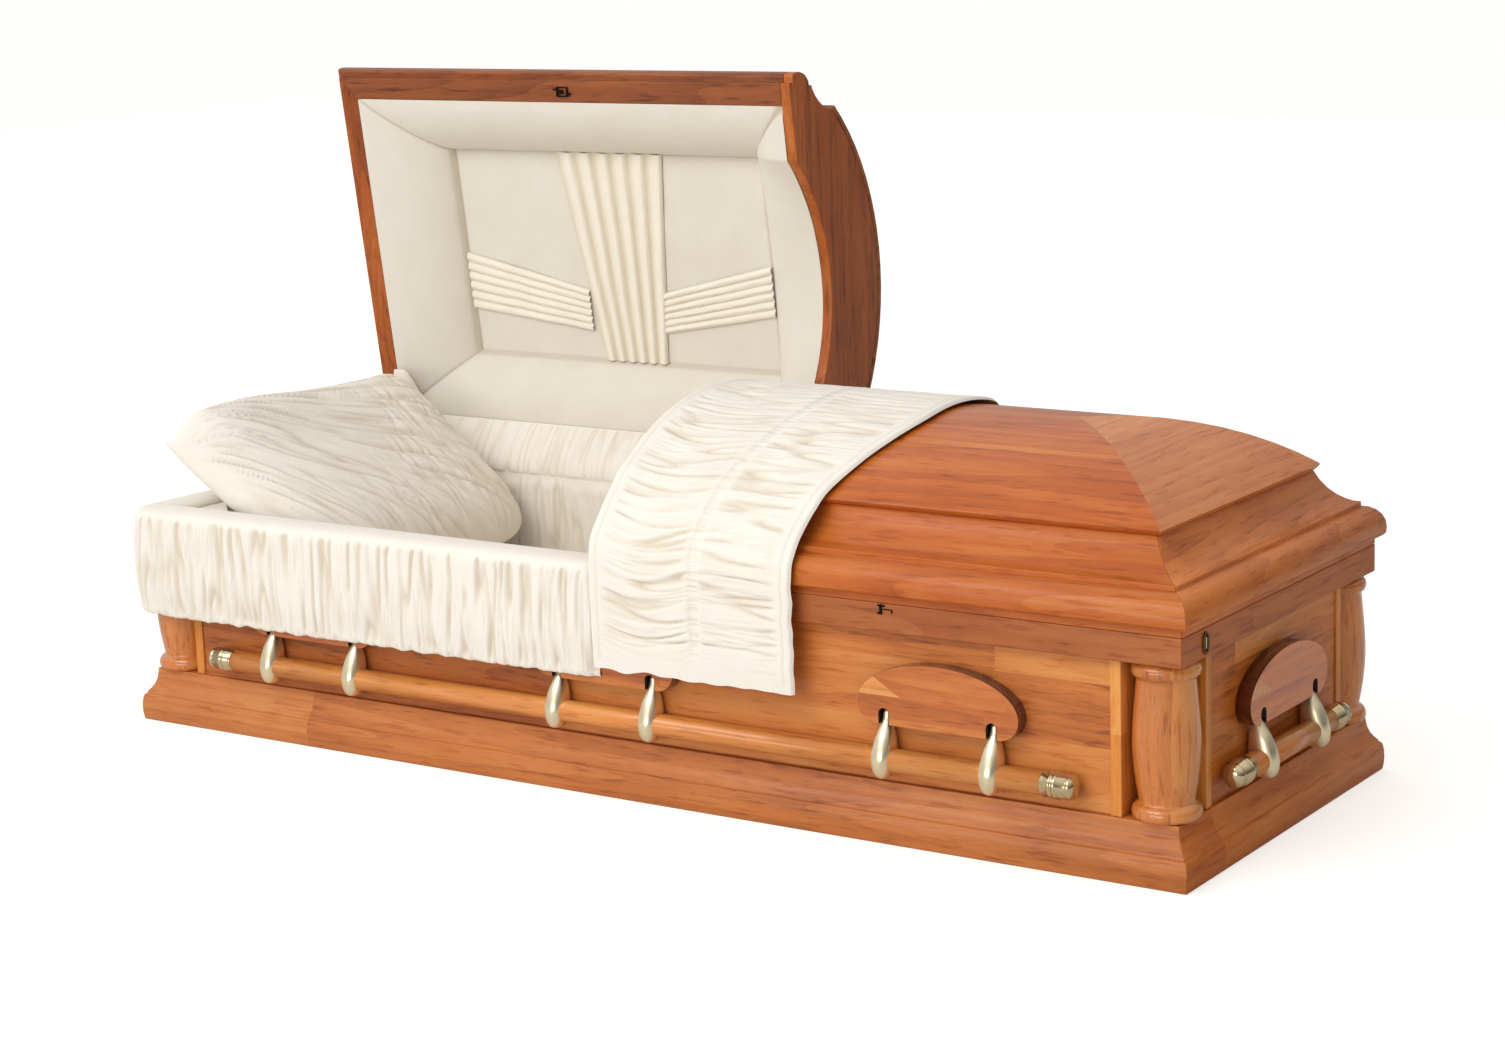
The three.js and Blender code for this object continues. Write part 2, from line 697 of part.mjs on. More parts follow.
const shortBarHalf = Math.max(...pair(0)) + shortBarOverhang;
for (const side of ['front', 'back']) {
  setOnWall(addMesh(`swing_bar_${side}`, barGeometry(longBarHalf, longArms), barWood), side);
}
for (const side of ['head', 'foot']) {
  setOnWall(addMesh(`swing_bar_${side}`, barGeometry(shortBarHalf, pair(0)), barWood), side);
}

// Inside of the body: an eight-sided ring, cut off at the corners by the posts
function insideRing(inset, z) {
  const x = halfLength - inset;
  const y = halfWidth - inset;
  const corner = postDiagonal + touchGap * 2 + (inset - frameInset) * Math.SQRT2 - inset;
  const cx = halfLength - corner;
  const cy = halfWidth - corner;
  return [[-cx, -y, z], [cx, -y, z], [x, -cy, z], [x, cy, z],
    [cx, y, z], [-cx, y, z], [-x, cy, z], [-x, -cy, z]];
}
const liningInset = frameInset + touchGap;
const liningBottom = bottomThickness + touchGap;
const liningTop = railTop - liningTopDrop;
addMesh('body_lining', loft([
  insideRing(liningInset, liningBottom),
  insideRing(liningInset, liningTop),
  insideRing(liningInset + liningThickness, liningTop),
  insideRing(liningInset + liningThickness, liningBottom),
], { looped: true }), cloth);
const padInset = liningInset + liningThickness + softGap;
addMesh('mattress', loft([
  insideRing(padInset, liningBottom),
  insideRing(padInset, mattressTop - mattressEdge),
  insideRing(padInset + mattressEdge, mattressTop),
]), cloth);

// Pillow: leans from the mattress up against the head end, over the rim. Its sections run across the
// casket, and the outer ones keep clear of the slanted corners of the lining.
const innerFace = halfLength - padInset;
function pillowSection(y) {
  const fromSide = halfWidth - Math.abs(y);
  const diagonal = postDiagonal + (padInset - frameInset) * Math.SQRT2 + softGap;
  const wall = -(halfLength - Math.max(padInset + softGap, diagonal - fromSide));
  const rimX = -(innerFace + pillowOverhang);
  const low = mattressTop + softGap;
  const rim = railTop + pillowRimHeight;
  const foot = -innerFace + pillowReach;
  const top = -innerFace + pillowTopBack;
  const endHeight = (share) => rim + (pillowTopHeight - rim) * share;
  return [
    [foot - pillowEdge, low], [foot, low + pillowEdge * 0.5], [foot - pillowEdge * 0.4, low + pillowEdge],
    [top, endHeight(1)], [top - pillowEdge, endHeight(0.95)], [rimX, endHeight(0.6)],
    [rimX + 4, endHeight(0.36)], [wall, rim], [wall, low + pillowHeel], [wall + pillowHeel, low],
  ].map(([x, z]) => [x, y, z]);
}
const pillowCuts = [-1, -0.66, 0, 0.66, 1].map((share) => pillowSection(share * pillowHalfWidth));
addMesh('pillow', loft(pillowCuts), cloth);

// Apron: a gathered skirt over the front rail and round the head end
const apronInner = wallInset - earThickness - apronClearance;
function apronSection(hem, roll) {
  const outer = apronInner - apronThickness;
  return [
    [apronInner, hem], [outer, hem], [outer, railTop], [outer + roll * 0.3, lidBottom + roll * 0.8],
    [outer + roll, lidBottom + roll], [apronInnerInset - roll * 0.6, lidBottom + roll],
    [apronInnerInset, lidBottom + roll * 0.5], [apronInnerInset, lidBottom], [apronInner, lidBottom],
  ];
}
const apronFront = splitPosition - splitGap - touchGap;
const apronBack = halfWidth - railInset - apronBackStop;
addMesh('apron', loft([
  apronSection(apronHem, apronRoll).map(([inset, z]) => sides.front.place(apronFront, inset, z)),
  apronSection(apronHem, apronRoll).map(([inset, z]) =>
    sides.front.place(-(halfLength - inset), inset, z)),
  apronSection(apronEndHem, apronEndRoll).map(([inset, z]) => sides.head.place(apronBack, inset, z)),
]), cloth);

// Throw: a shirred cloth over the closed half, hanging down the front
const throwSkin = (offset) => {
  const radii = noseRadii.map((radius) => radius + offset);
  const nose = arc([bullnoseInset, noseCentre], radii, Math.PI, Math.PI * 0.75, 3);
  const skinRadius = crownRadius + offset;
  const half = [
    [-(halfWidth + capBulge + offset), throwHem],
    ...nose.map(([inset, z]) => [-(halfWidth - inset), z]),
  ];
  const over = arc([0, crownCentre], [skinRadius, skinRadius],
    Math.PI / 2 + crownAngle, Math.PI / 2 - crownAngle, 2 * crownSteps);
  const backEdge = [halfWidth - bullnoseInset + offset, filletTop + throwBackLift + offset];
  return [...half, ...over, backEdge];
};
const throwOutline = [
  ...throwSkin(throwClearance + throwThickness),
  ...throwSkin(throwClearance).reverse(),
];
const throwLeft = splitPosition + splitGap + touchGap;
const throwRight = (y) => throwLeft + throwWidth + throwFlare * (1 - Math.abs(y) / (halfWidth + 20));
addMesh('throw', loft([
  throwOutline.map(([y, z]) => [throwLeft, y, z]),
  throwOutline.map(([y, z]) => [throwRight(y), y, z]),
]), cloth);

export default casket;
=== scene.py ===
import json
import math

import bmesh
import bpy
from mathutils import Matrix, Vector, noise


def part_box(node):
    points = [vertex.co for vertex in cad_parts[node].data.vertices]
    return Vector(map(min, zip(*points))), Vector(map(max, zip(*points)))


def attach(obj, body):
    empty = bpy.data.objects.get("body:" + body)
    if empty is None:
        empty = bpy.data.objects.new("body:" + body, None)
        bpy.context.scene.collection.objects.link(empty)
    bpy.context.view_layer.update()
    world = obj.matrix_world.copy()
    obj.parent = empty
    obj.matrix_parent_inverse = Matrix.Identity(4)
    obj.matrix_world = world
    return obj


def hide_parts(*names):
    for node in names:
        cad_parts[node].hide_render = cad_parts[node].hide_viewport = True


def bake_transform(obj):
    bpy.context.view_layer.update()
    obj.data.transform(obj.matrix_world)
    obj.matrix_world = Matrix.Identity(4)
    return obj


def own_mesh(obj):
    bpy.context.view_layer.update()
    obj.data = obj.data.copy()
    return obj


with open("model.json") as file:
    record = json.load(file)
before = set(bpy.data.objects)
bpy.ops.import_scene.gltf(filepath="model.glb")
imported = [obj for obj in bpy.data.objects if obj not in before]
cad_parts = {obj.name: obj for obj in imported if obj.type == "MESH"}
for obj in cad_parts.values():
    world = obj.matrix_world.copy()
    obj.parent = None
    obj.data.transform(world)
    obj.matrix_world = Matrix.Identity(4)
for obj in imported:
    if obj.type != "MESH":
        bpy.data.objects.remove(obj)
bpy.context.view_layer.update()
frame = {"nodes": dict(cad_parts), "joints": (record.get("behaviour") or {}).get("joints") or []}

# The photograph's viewpoint: a long lens, a little above the lid, seeing the front and the foot end,
# with the camera turned slightly about its own axis.
lens_pixels = 3113.9
photo_width = 1505
camera_place = (2.9853, -4.2970, 1.4934)
yaw, pitch, roll = math.radians(34.244), math.radians(11.902), math.radians(-1.943)
camera = bpy.data.objects.new("camera", bpy.data.cameras.new("camera"))
bpy.context.scene.collection.objects.link(camera)
camera.data.sensor_width = 36
camera.data.lens = lens_pixels / photo_width * camera.data.sensor_width
camera.data.clip_end = 50
camera.matrix_world = (Matrix.Translation(camera_place) @ Matrix.Rotation(yaw, 4, "Z")
                       @ Matrix.Rotation(math.pi / 2 - pitch, 4, "X") @ Matrix.Rotation(roll, 4, "Z"))
bpy.context.scene.camera = camera
bpy.context.scene.view_settings.view_transform = "Standard"

# Studio: a white floor and surround, darker to the foot end and to mirrors low down, a large soft
# light over the front and a low one before it. The floor throws back less light than the camera sees.
def set_inputs(tree, node, inputs):
    """Sets inputs of a node to values, or joins them to sockets."""
    for key, value in inputs.items():
        if isinstance(value, bpy.types.NodeSocket):
            tree.links.new(value, node.inputs[key])
        else:
            node.inputs[key].default_value = value


def add_node(tree, kind, inputs=None, **settings):
    """A shader node with its settings, and with its inputs set or joined."""
    made = tree.nodes.new(kind)
    for key, value in settings.items():
        setattr(made, key, value)
    set_inputs(tree, made, inputs or {})
    return made


def math_node(tree, operation, *values):
    return add_node(tree, "ShaderNodeMath", dict(enumerate(values)), operation=operation).outputs[0]


def remap(tree, value, low, high, start=0.0, end=1.0):
    """A value that goes from start to end, stretched to go from low to high."""
    inputs = {"Value": value, "From Min": start, "From Max": end, "To Min": low, "To Max": high}
    return add_node(tree, "ShaderNodeMapRange", inputs).outputs["Result"]


def mix_node(tree, share, first, second):
    return add_node(tree, "ShaderNodeMix", {"Factor": share, "A": first, "B": second}).outputs["Result"]


room = bpy.data.worlds.new("room")
bpy.context.scene.world = room
room.use_nodes = True
room_tree = room.node_tree
towards = add_node(room_tree, "ShaderNodeTexCoord").outputs["Generated"]
towards = add_node(room_tree, "ShaderNodeSeparateXYZ", {"Vector": towards}).outputs
ray = add_node(room_tree, "ShaderNodeLightPath").outputs
room_light, room_to_foot, room_to_sky = 0.66, -0.38, 0.10
mirror_dark, mirror_to_foot, mirror_least = 0.34, -0.26, 0.05
soft = math_node(room_tree, "MULTIPLY_ADD", towards["X"], room_to_foot, room_light)
soft = math_node(room_tree, "MULTIPLY_ADD", towards["Z"], room_to_sky, soft)
mirrored = remap(room_tree, towards["Z"], mirror_dark, 1.0, start=0.2, end=0.75)
mirrored = math_node(room_tree, "MULTIPLY_ADD", towards["X"], mirror_to_foot, mirrored)
mirrored = math_node(room_tree, "MAXIMUM", mirrored, mirror_least)
strength = mix_node(room_tree, ray["Is Glossy Ray"], soft, mirrored)
seen = mix_node(room_tree, ray["Is Camera Ray"], strength, 1.0)
set_inputs(room_tree, room_tree.nodes["Background"], {"Color": (1.0, 0.995, 0.975, 1), "Strength": seen})


def soft_light(name, place, aim, size, power):
    light = bpy.data.objects.new(name, bpy.data.lights.new(name, "AREA"))
    bpy.context.scene.collection.objects.link(light)
    light.data.shape = "RECTANGLE"
    light.data.size, light.data.size_y = size
    light.data.energy = power
    aim_direction = Vector(aim) - Vector(place)
    light.matrix_world = (Matrix.Translation(place)
                          @ aim_direction.to_track_quat("-Z", "Y").to_matrix().to_4x4())


soft_light("light_over_front", (-0.6, -3.2, 3.4), (0, 0, 0.4), (3.2, 1.6), 68)
soft_light("light_low_front", (0.2, -5.2, 0.9), (0, 0, 0.2), (4.0, 1.2), 58)


def new_piece(name, mesh, *materials):
    """An object with its place in its mesh, from a bmesh, which it frees."""
    data = bpy.data.meshes.new(name)
    mesh.to_mesh(data)
    mesh.free()
    for material in materials:
        data.materials.append(material)
    piece = bpy.data.objects.new(name, data)
    bpy.context.scene.collection.objects.link(piece)
    return piece


def colour(code):
    """Linear colour from a web code."""
    parts = [int(code[i:i + 2], 16) / 255 for i in (0, 2, 4)]
    return [p / 12.92 if p <= 0.04045 else ((p + 0.055) / 1.055) ** 2.4 for p in parts] + [1]


def new_material(name):
    """A material, its node tree and its shader."""
    material = bpy.data.materials.new(name)
    material.use_nodes = True
    return material, material.node_tree, material.node_tree.nodes["Principled BSDF"]


floor_material, floor_tree, floor_shader = new_material("floor")
floor_glow, floor_glow_seen = 0.06, 0.56
floor_seen = add_node(floor_tree, "ShaderNodeLightPath").outputs["Is Camera Ray"]
set_inputs(floor_tree, floor_shader, {
    "Base Color": (0.62, 0.6, 0.57, 1), "Roughness": 0.8, "Specular IOR Level": 0.1,
    "Emission Color": (1, 0.995, 0.985, 1),
    "Emission Strength": math_node(floor_tree, "MULTIPLY_ADD", floor_seen, floor_glow_seen, floor_glow)})
floor_mesh = bmesh.new()
bmesh.ops.create_grid(floor_mesh, x_segments=1, y_segments=1, size=12)
floor = new_piece("floor", floor_mesh, floor_material)


# Base: the bottom board inside four mitred lengths of moulding, a rounded plinth band under a groove
# and a cove. It is solid hardwood, stained orange brown and lacquered.
def noise_texture(tree, vector, scale, detail=2.0, roughness=0.5):
    inputs = {"Vector": vector, "Scale": scale, "Detail": detail, "Roughness": roughness}
    return add_node(tree, "ShaderNodeTexNoise", inputs).outputs["Fac"]


def wood_figure_group():
    """Figure of stained boards whose grain runs along X: glued boards of different tone, growth
    rings, long streaks and short dark pores."""
    tree = bpy.data.node_groups.new("wood_figure", "ShaderNodeTree")
    sockets = (("Vector", "Vector", None), ("Board Width", "Float", 0.1), ("Board Length", "Float", 1.0),
               ("Board Contrast", "Float", 0.3), ("Ring Density", "Float", 9.0),
               ("Ring Contrast", "Float", 0.3), ("Streak Contrast", "Float", 0.4))
    for name, kind, default in sockets:
        socket = tree.interface.new_socket(name, in_out="INPUT", socket_type=f"NodeSocket{kind}")
        if default is not None:
            socket.default_value = default
    for name in ("Tone", "Height"):
        tree.interface.new_socket(name, in_out="OUTPUT", socket_type="NodeSocketFloat")
    start = add_node(tree, "NodeGroupInput").outputs
    place = add_node(tree, "ShaderNodeSeparateXYZ", {"Vector": start["Vector"]}).outputs
    across = math_node(tree, "DIVIDE", place["Z"], start["Board Width"])
    row = math_node(tree, "FLOOR", across)
    deep = math_node(tree, "FLOOR", math_node(tree, "DIVIDE", place["Y"], start["Board Width"]))
    row_key = add_node(tree, "ShaderNodeCombineXYZ", {"X": row, "Y": deep, "Z": 3.7}).outputs[0]
    shift = add_node(tree, "ShaderNodeTexWhiteNoise", {"Vector": row_key}).outputs["Value"]
    along = math_node(tree, "DIVIDE", place["X"], start["Board Length"])
    length = math_node(tree, "FLOOR", math_node(tree, "ADD", along, math_node(tree, "MULTIPLY", shift, 9)))
    board_key = add_node(tree, "ShaderNodeCombineXYZ", {"X": row, "Y": deep, "Z": length}).outputs[0]
    board = add_node(tree, "ShaderNodeTexWhiteNoise", {"Vector": board_key}).outputs
    moved = add_node(tree, "ShaderNodeVectorMath",
                     {0: start["Vector"], 1: board["Color"]}, operation="ADD").outputs[0]

    def stretched(scale, detail, roughness):
        squeezed = add_node(tree, "ShaderNodeVectorMath", {0: moved, 1: scale}, operation="MULTIPLY")
        return noise_texture(tree, squeezed.outputs[0], 1.0, detail, roughness)

    rings = math_node(tree, "MULTIPLY", stretched((0.5, 8.0, 8.0), 1.2, 0.4), start["Ring Density"])
    ring = math_node(tree, "POWER", math_node(tree, "FRACT", rings), 2.2)
    streak = stretched((2.2, 46.0, 46.0), 5.0, 0.65)
    cloud = stretched((3.5, 9.0, 9.0), 3.0, 0.55)
    stroke = remap(tree, stretched((15.0, 150.0, 150.0), 2.0, 0.5), 0.0, 1.0, start=0.56, end=0.7)
    fibre = stretched((24.0, 620.0, 620.0), 2.0, 0.6)
    pore = math_node(tree, "GREATER_THAN", stretched((55.0, 900.0, 900.0), 1.0, 0.5), 0.66)

    def weighed(value, middle, weight):
        return math_node(tree, "MULTIPLY", math_node(tree, "SUBTRACT", value, middle), weight)

    minus_rings = math_node(tree, "MULTIPLY", start["Ring Contrast"], -1.0)
    tone = math_node(tree, "ADD", 0.5, weighed(board["Value"], 0.5, start["Board Contrast"]))
    for part in (weighed(ring, 0.3, minus_rings), weighed(streak, 0.5, start["Streak Contrast"]),
                 weighed(cloud, 0.5, 0.5), weighed(fibre, 0.5, 0.2),
                 math_node(tree, "MULTIPLY", stroke, -0.2), math_node(tree, "MULTIPLY", pore, -0.1)):
        tone = math_node(tree, "ADD", tone, part)
    height = math_node(tree, "SUBTRACT", fibre, math_node(tree, "MULTIPLY", pore, 0.6))
    add_node(tree, "NodeGroupOutput", {"Tone": tone, "Height": height})
    return tree


wood_figure = wood_figure_group()
grain_turns = {"X": (0, 0, 0), "Y": (0, 0, math.pi / 2), "Z": (0, math.pi / 2, 0)}


def object_place(tree):
    return add_node(tree, "ShaderNodeTexCoord").outputs["Object"]


def colour_ramp(tree, value, first, last, *between):
    """The colour at a value, from stops of a position and a web code."""
    made = add_node(tree, "ShaderNodeValToRGB", {"Fac": value})
    for stop, (position, code) in zip(made.color_ramp.elements, (first, last)):
        stop.position = position
        stop.color = colour(code)
    for position, code in between:
        made.color_ramp.elements.new(position).color = colour(code)
    return made.outputs["Color"]


def bump(tree, height, strength, distance):
    inputs = {"Height": height, "Strength": strength, "Distance": distance}
    return add_node(tree, "ShaderNodeBump", inputs).outputs["Normal"]


def wood(name, tones, grain="X", board=(0.11, 0.9), contrast=0.3, rings=(14, 0.12), streaks=0.4,
         rough=0.42, lacquer=0.12, offset=(0, 0, 0)):
    """Stained, lacquered wood, from a dark, a middle and a light tone."""
    material, tree, shader = new_material(name)
    turned = add_node(tree, "ShaderNodeMapping", {
        "Vector": object_place(tree), "Rotation": grain_turns[grain], "Location": offset})
    figure = add_node(tree, "ShaderNodeGroup", node_tree=wood_figure)
    set_inputs(tree, figure, {
        "Vector": turned.outputs[0], "Board Width": board[0], "Board Length": board[1],
        "Board Contrast": contrast, "Ring Density": rings[0], "Ring Contrast": rings[1],
        "Streak Contrast": streaks})
    tone = figure.outputs["Tone"]
    dark, middle, light = tones
    set_inputs(tree, shader, {
        "Base Color": colour_ramp(tree, tone, (0.12, dark), (0.9, light), (0.5, middle)),
        "Roughness": remap(tree, tone, rough + 0.07, rough - 0.05),
        "Normal": bump(tree, figure.outputs["Height"], 0.12, 0.0006),
        "Specular IOR Level": 0.3, "Coat Weight": lacquer, "Coat Roughness": 0.14})
    return material


def wood_pair(long_name, long_tones, across_name, across_tones, grain="Y", **figure):
    """A wood with its grain along X, and the same wood with its grain across, in its own tones, which are
    partly painted light: they are set so that the end pieces come out as bright as they look under the
    room's light.
    """
    return wood(long_name, long_tones, **figure), wood(across_name, across_tones, grain, **figure)


sides = ("front", "back", "head", "foot")
ends = ("head", "foot")
weld = 1e-5
flat_limit = math.radians(0.8)
least_bend = math.radians(0.9)
curve_limit = math.radians(32)


def rounded(mesh, edges, offset, segments=2, material=-1):
    """Rounds edges over, and returns the faces that this makes."""
    return bmesh.ops.bevel(mesh, geom=edges, offset=offset, offset_type="OFFSET", segments=segments,
                           profile=0.5, affect="EDGES", clamp_overlap=True, material=material)["faces"]


def make_smooth(faces):
    for face in faces:
        face.smooth = True


def dressed(node, material, slot, body="casket", edge=0.0012, segments=2, sharp=None):
    """A CAD piece with its sharp edges eased as sanding and lacquer ease them, and its curved faces
    shaded smooth. It stands for the node."""
    mesh = bmesh.new()
    mesh.from_mesh(frame["nodes"][node].data)
    bmesh.ops.remove_doubles(mesh, verts=mesh.verts, dist=weld)
    bmesh.ops.dissolve_limit(mesh, angle_limit=flat_limit, verts=mesh.verts, edges=mesh.edges)
    for face in mesh.faces:
        face.smooth = any(least_bend < e.calc_face_angle(0) < curve_limit for e in face.edges)
    kept = [e for e in mesh.edges if sharp and all(sharp(v.co) for v in e.verts)]
    for e in kept:
        e.smooth = False
    hard = [e for e in mesh.edges if e.calc_face_angle(0) >= curve_limit and e not in kept]
    make_smooth(rounded(mesh, hard, edge, segments))
    piece = new_piece(f"{node}_wood" if slot.endswith("wood") else f"{node}_metal", mesh, material)
    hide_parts(node)
    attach(piece, body)
    return piece


def dress_sides(node, long_material, across_material, slot, edge=0.0012):
    """Dresses a piece that each of the four sides has."""
    for side in sides:
        dressed(f"{node}_{side}", across_material if side in ends else long_material, slot, edge=edge)


base_tones = ("8e4a24", "c27238", "dc9856")
# Partly painted light: the end pieces' tones are set apart from the long ones for the light on the ends.
base_across_tones = ("98460e", "c86c20", "e89846")
base_long = wood("base_long", base_tones, board=(0.2, 2.3), contrast=0.2, rings=(12, 0.12))
base_across = wood("base_across", base_across_tones, "Y", board=(0.2, 1.7), contrast=0.2, rings=(12, 0.12))
dress_sides("base_moulding", base_long, base_across, "base_wood")
dressed("bottom_board", base_long, "base_wood")

# Walls: boards glued edge to edge between the corner posts, stained a redder brown than the base,
# with the grain running along each wall.
wall_tones = ("8a4420", "c67234", "dd9650")
# Partly painted light: the end walls' tones are set apart for the light on the ends.
wall_across_tones = ("984812", "d27626", "eca450")
wall_woods = wood_pair("wall_long", wall_tones, "wall_across", wall_across_tones,
                       board=(0.098, 0.84), contrast=0.42, rings=(17, 0.14))
dress_sides("wall", *wall_woods, "wall_wood", edge=0.0008)

# Top rails: a plain ledge under the lids, round all four sides and mitred at the corners. Its stain is
# darker than that of the walls.
rail_tones = ("6c3617", "a4582a", "c07a42")
# Partly painted light: the end rails' tones are set apart for the light on the ends.
rail_across_tones = ("8e4010", "c46a1e", "e0923e")
rail_woods = wood_pair("rail_long", rail_tones, "rail_across", rail_across_tones,
                       board=(0.2, 1.4), contrast=0.3, rings=(15, 0.1))
dress_sides("top_rail", *rail_woods, "rail_wood", edge=0.0008)

# Corner posts: an L of two light strips with a round hollow between them, in which the column stands.
# The grain runs upright.
strip_tones = ("ac6428", "dc8a3c", "f0b568")
strip_wood = wood("strip_wood", strip_tones, grain="Z", board=(0.06, 1.0), contrast=0.25, rings=(11, 0.08))
corners = [f"{face}_{end}" for face in ("front", "back") for end in ("head", "foot")]
for corner in corners:
    dressed(f"corner_post_{corner}", strip_wood, "strip_wood", edge=0.001)

# Columns: each turned from one upright block, with a ring above and below a swelling barrel, and with
# a high gloss lacquer. Each stands on the base's flat top and ends under the rail.
column_tones = ("944a20", "d27e3a", "f0ae66")
column_wood = wood("column_wood", column_tones, grain="Z", board=(0.5, 3.0), contrast=0.3,
                   rings=(14, 0.03), rough=0.2, lacquer=0.8, offset=(0, 0.012, 0.02))
column_outline = [(0.0, 0.0), (0.0470, 0.0), (0.0508, 0.0022), (0.0528, 0.0065), (0.0530, 0.0105),
                  (0.0522, 0.0155), (0.0502, 0.0195), (0.0475, 0.0222), (0.0448, 0.0236),
                  (0.0430, 0.0250), (0.0420, 0.0265), (0.0421, 0.0290), (0.0436, 0.0380),
                  (0.0461, 0.0520), (0.0486, 0.0700), (0.0505, 0.0890), (0.0514, 0.1080),
                  (0.0515, 0.1180), (0.0511, 0.1330), (0.0500, 0.1520), (0.0482, 0.1730),
                  (0.0462, 0.1940), (0.0449, 0.2090), (0.0445, 0.2140), (0.0452, 0.2160),
                  (0.0475, 0.2172), (0.0500, 0.2195), (0.0517, 0.2235), (0.0520, 0.2280),
                  (0.0512, 0.2325), (0.0492, 0.2358), (0.0462, 0.2374), (0.0446, 0.2388),
                  (0.0445, 0.2412), (0.0, 0.2412)]


def turned(points, axis, steps):
    """The shape that an outline's points make when they are turned about an axis."""
    mesh = bmesh.new()
    outline = [mesh.verts.new(point) for point in points]
    edges = [mesh.edges.new(pair) for pair in zip(outline, outline[1:])]
    bmesh.ops.spin(mesh, geom=outline + edges, cent=(0, 0, 0), axis=axis, angle=2 * math.pi,
                   steps=steps, use_merge=True)
    bmesh.ops.remove_doubles(mesh, verts=mesh.verts, dist=weld)
    bmesh.ops.recalc_face_normals(mesh, faces=mesh.faces)
    return mesh


for corner in corners:
    low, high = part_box(f"column_{corner}")
    centre = (low + high) / 2
    mesh = turned([(radius, 0, z) for radius, z in column_outline], (0, 0, 1), 56)
    bmesh.ops.translate(mesh, verts=mesh.verts, vec=(centre.x, centre.y, low.z))
    for face in mesh.faces:
        face.smooth = abs(face.normal.z) < 0.999
    column = new_piece(f"turned_column_{corner}", mesh, column_wood)
    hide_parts(f"column_{corner}")
    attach(column, "casket")

# Foot lid: mitred cap mouldings, a fillet and a cove, with a hipped crown board bent over them. It is
# the lightest and most orange wood of the casket.
lid_tones = ("8a3e12", "b95c1e", "d5853a")
hip_start = 0.689  # length less width at which the end slope of a crown begins
# Partly painted light: the end caps' and the crown ends' tones are set apart, lighter, for the light on
# them.
cap_across_tones = ("a04c12", "d4782e", "ec9c50")
crown_end_tones = ("b45c24", "dc8444", "f0a86c")
cap_woods = wood_pair("cap_long", lid_tones, "cap_across", cap_across_tones,
                      board=(0.3, 2.0), contrast=0.12, rings=(13, 0.13))
crown_woods = wood_pair("crown_long", lid_tones, "crown_end", crown_end_tones,
                        board=(0.16, 1.3), contrast=0.16, rings=(12, 0.14), rough=0.3)


def on_hip(point):
    return abs(abs(point.x) - abs(point.y) - hip_start) < 0.002


def add_lid_wood(lid, slot, cap_materials, crown_materials):
    for part, material in (("cap_front", cap_materials[0]), ("cap_back", cap_materials[0]),
                           ("cap_end", cap_materials[1])):
        dressed(f"{lid}_{part}", material, slot, lid)
    dressed(f"{lid}_header", cap_materials[1], slot, lid, edge=0.002, segments=3)
    crown = dressed(f"{lid}_crown", crown_materials[0], slot, lid, edge=0.0035, segments=3,
                    sharp=on_hip if lid == "foot_lid" else lambda p: on_hip(closed_place(p)))
    crown.data.materials.append(crown_materials[1])
    for face in crown.data.polygons:
        at = face.center if lid == "foot_lid" else closed_place(face.center)
        face.material_index = int(abs(at.x) - abs(at.y) > hip_start)


add_lid_wood("foot_lid", "lid_wood", cap_woods, crown_woods)

# Head lid: the same lid, open, turned back about the hinge line, in darker and redder tones that paint the
# shade it stands in.
# Where the hips of its crown lie is worked out in its closed place.
hinge = next(joint for joint in frame["joints"] if joint["name"] == "head_lid_hinge")
hinge_at = Vector(hinge["pos_m"])
open_angle = math.radians(82.5)
opening = (Matrix.Translation(hinge_at) @ Matrix.Rotation(-open_angle, 4, "X")
           @ Matrix.Translation(-hinge_at))


def closed_place(point):
    return opening.inverted() @ Vector(point)


# Painted shade: the open lid's woods are darker copies of the closed lid's.
open_lid_shade_tones = ("54260f", "945028", "bb7641")
open_lid_shade_across_tones = ("642a08", "a8541a", "d07c34")
open_lid_shade_woods = wood_pair("open_long", open_lid_shade_tones, "open_across", open_lid_shade_across_tones, "Z",
                       board=(0.3, 2.0), contrast=0.15, rings=(13, 0.13))
add_lid_wood("head_lid", "open_lid_wood", open_lid_shade_woods, open_lid_shade_woods)

# Hinges and latches: two hinges of pale brass plate behind each lid, bent and pierced, and two small
# latches of blackened steel, one on the open lid's edge and one below the closed lid's.
def metal(name, dark, light, rough):
    """Satin metal plate with faint tarnish and brushing."""
    material, tree, shader = new_material(name)
    place = object_place(tree)
    tarnish = noise_texture(tree, place, 60.0, 4.0)
    scratches = noise_texture(tree, place, 900.0)
    set_inputs(tree, shader, {
        "Base Color": colour_ramp(tree, tarnish, (0.0, dark), (1.0, light)), "Metallic": 0.92,
        "Roughness": remap(tree, tarnish, rough + 0.06, rough - 0.06),
        "Normal": bump(tree, scratches, 0.05, 0.0005)})
    return material


brass = metal("pale_brass", "e6d3a6", "fff3d8", 0.3)
cap_brass = metal("polished_brass", "b39a6e", "ecdcb6", 0.16)
dark_brass = metal("aged_brass", "4a3a26", "8d7650", 0.34)
for lid in ("head_lid", "foot_lid"):
    for place in ("inner", "outer"):
        dressed(f"{lid}_hinge_{place}", brass, "brass", "casket", edge=0.0006)
latch_steel = metal("blackened_steel", "0c0a09", "2b2520", 0.4)


def latch(name, node, body, bars):
    """A latch of bent bars, each from its middle, measured from the node's, and its size."""
    low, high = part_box(node)
    mesh = bmesh.new()
    for (x, y, z), size in bars:
        made = bmesh.ops.create_cube(mesh, size=1)["verts"]
        bmesh.ops.scale(mesh, verts=made, vec=size)
        bmesh.ops.translate(mesh, verts=made, vec=(x, y, z))
    rounded(mesh, mesh.edges[:], 0.0005)
    bmesh.ops.translate(mesh, verts=mesh.verts, vec=(low + high) / 2)
    piece = new_piece(name, mesh, latch_steel)
    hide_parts(node)
    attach(piece, body)


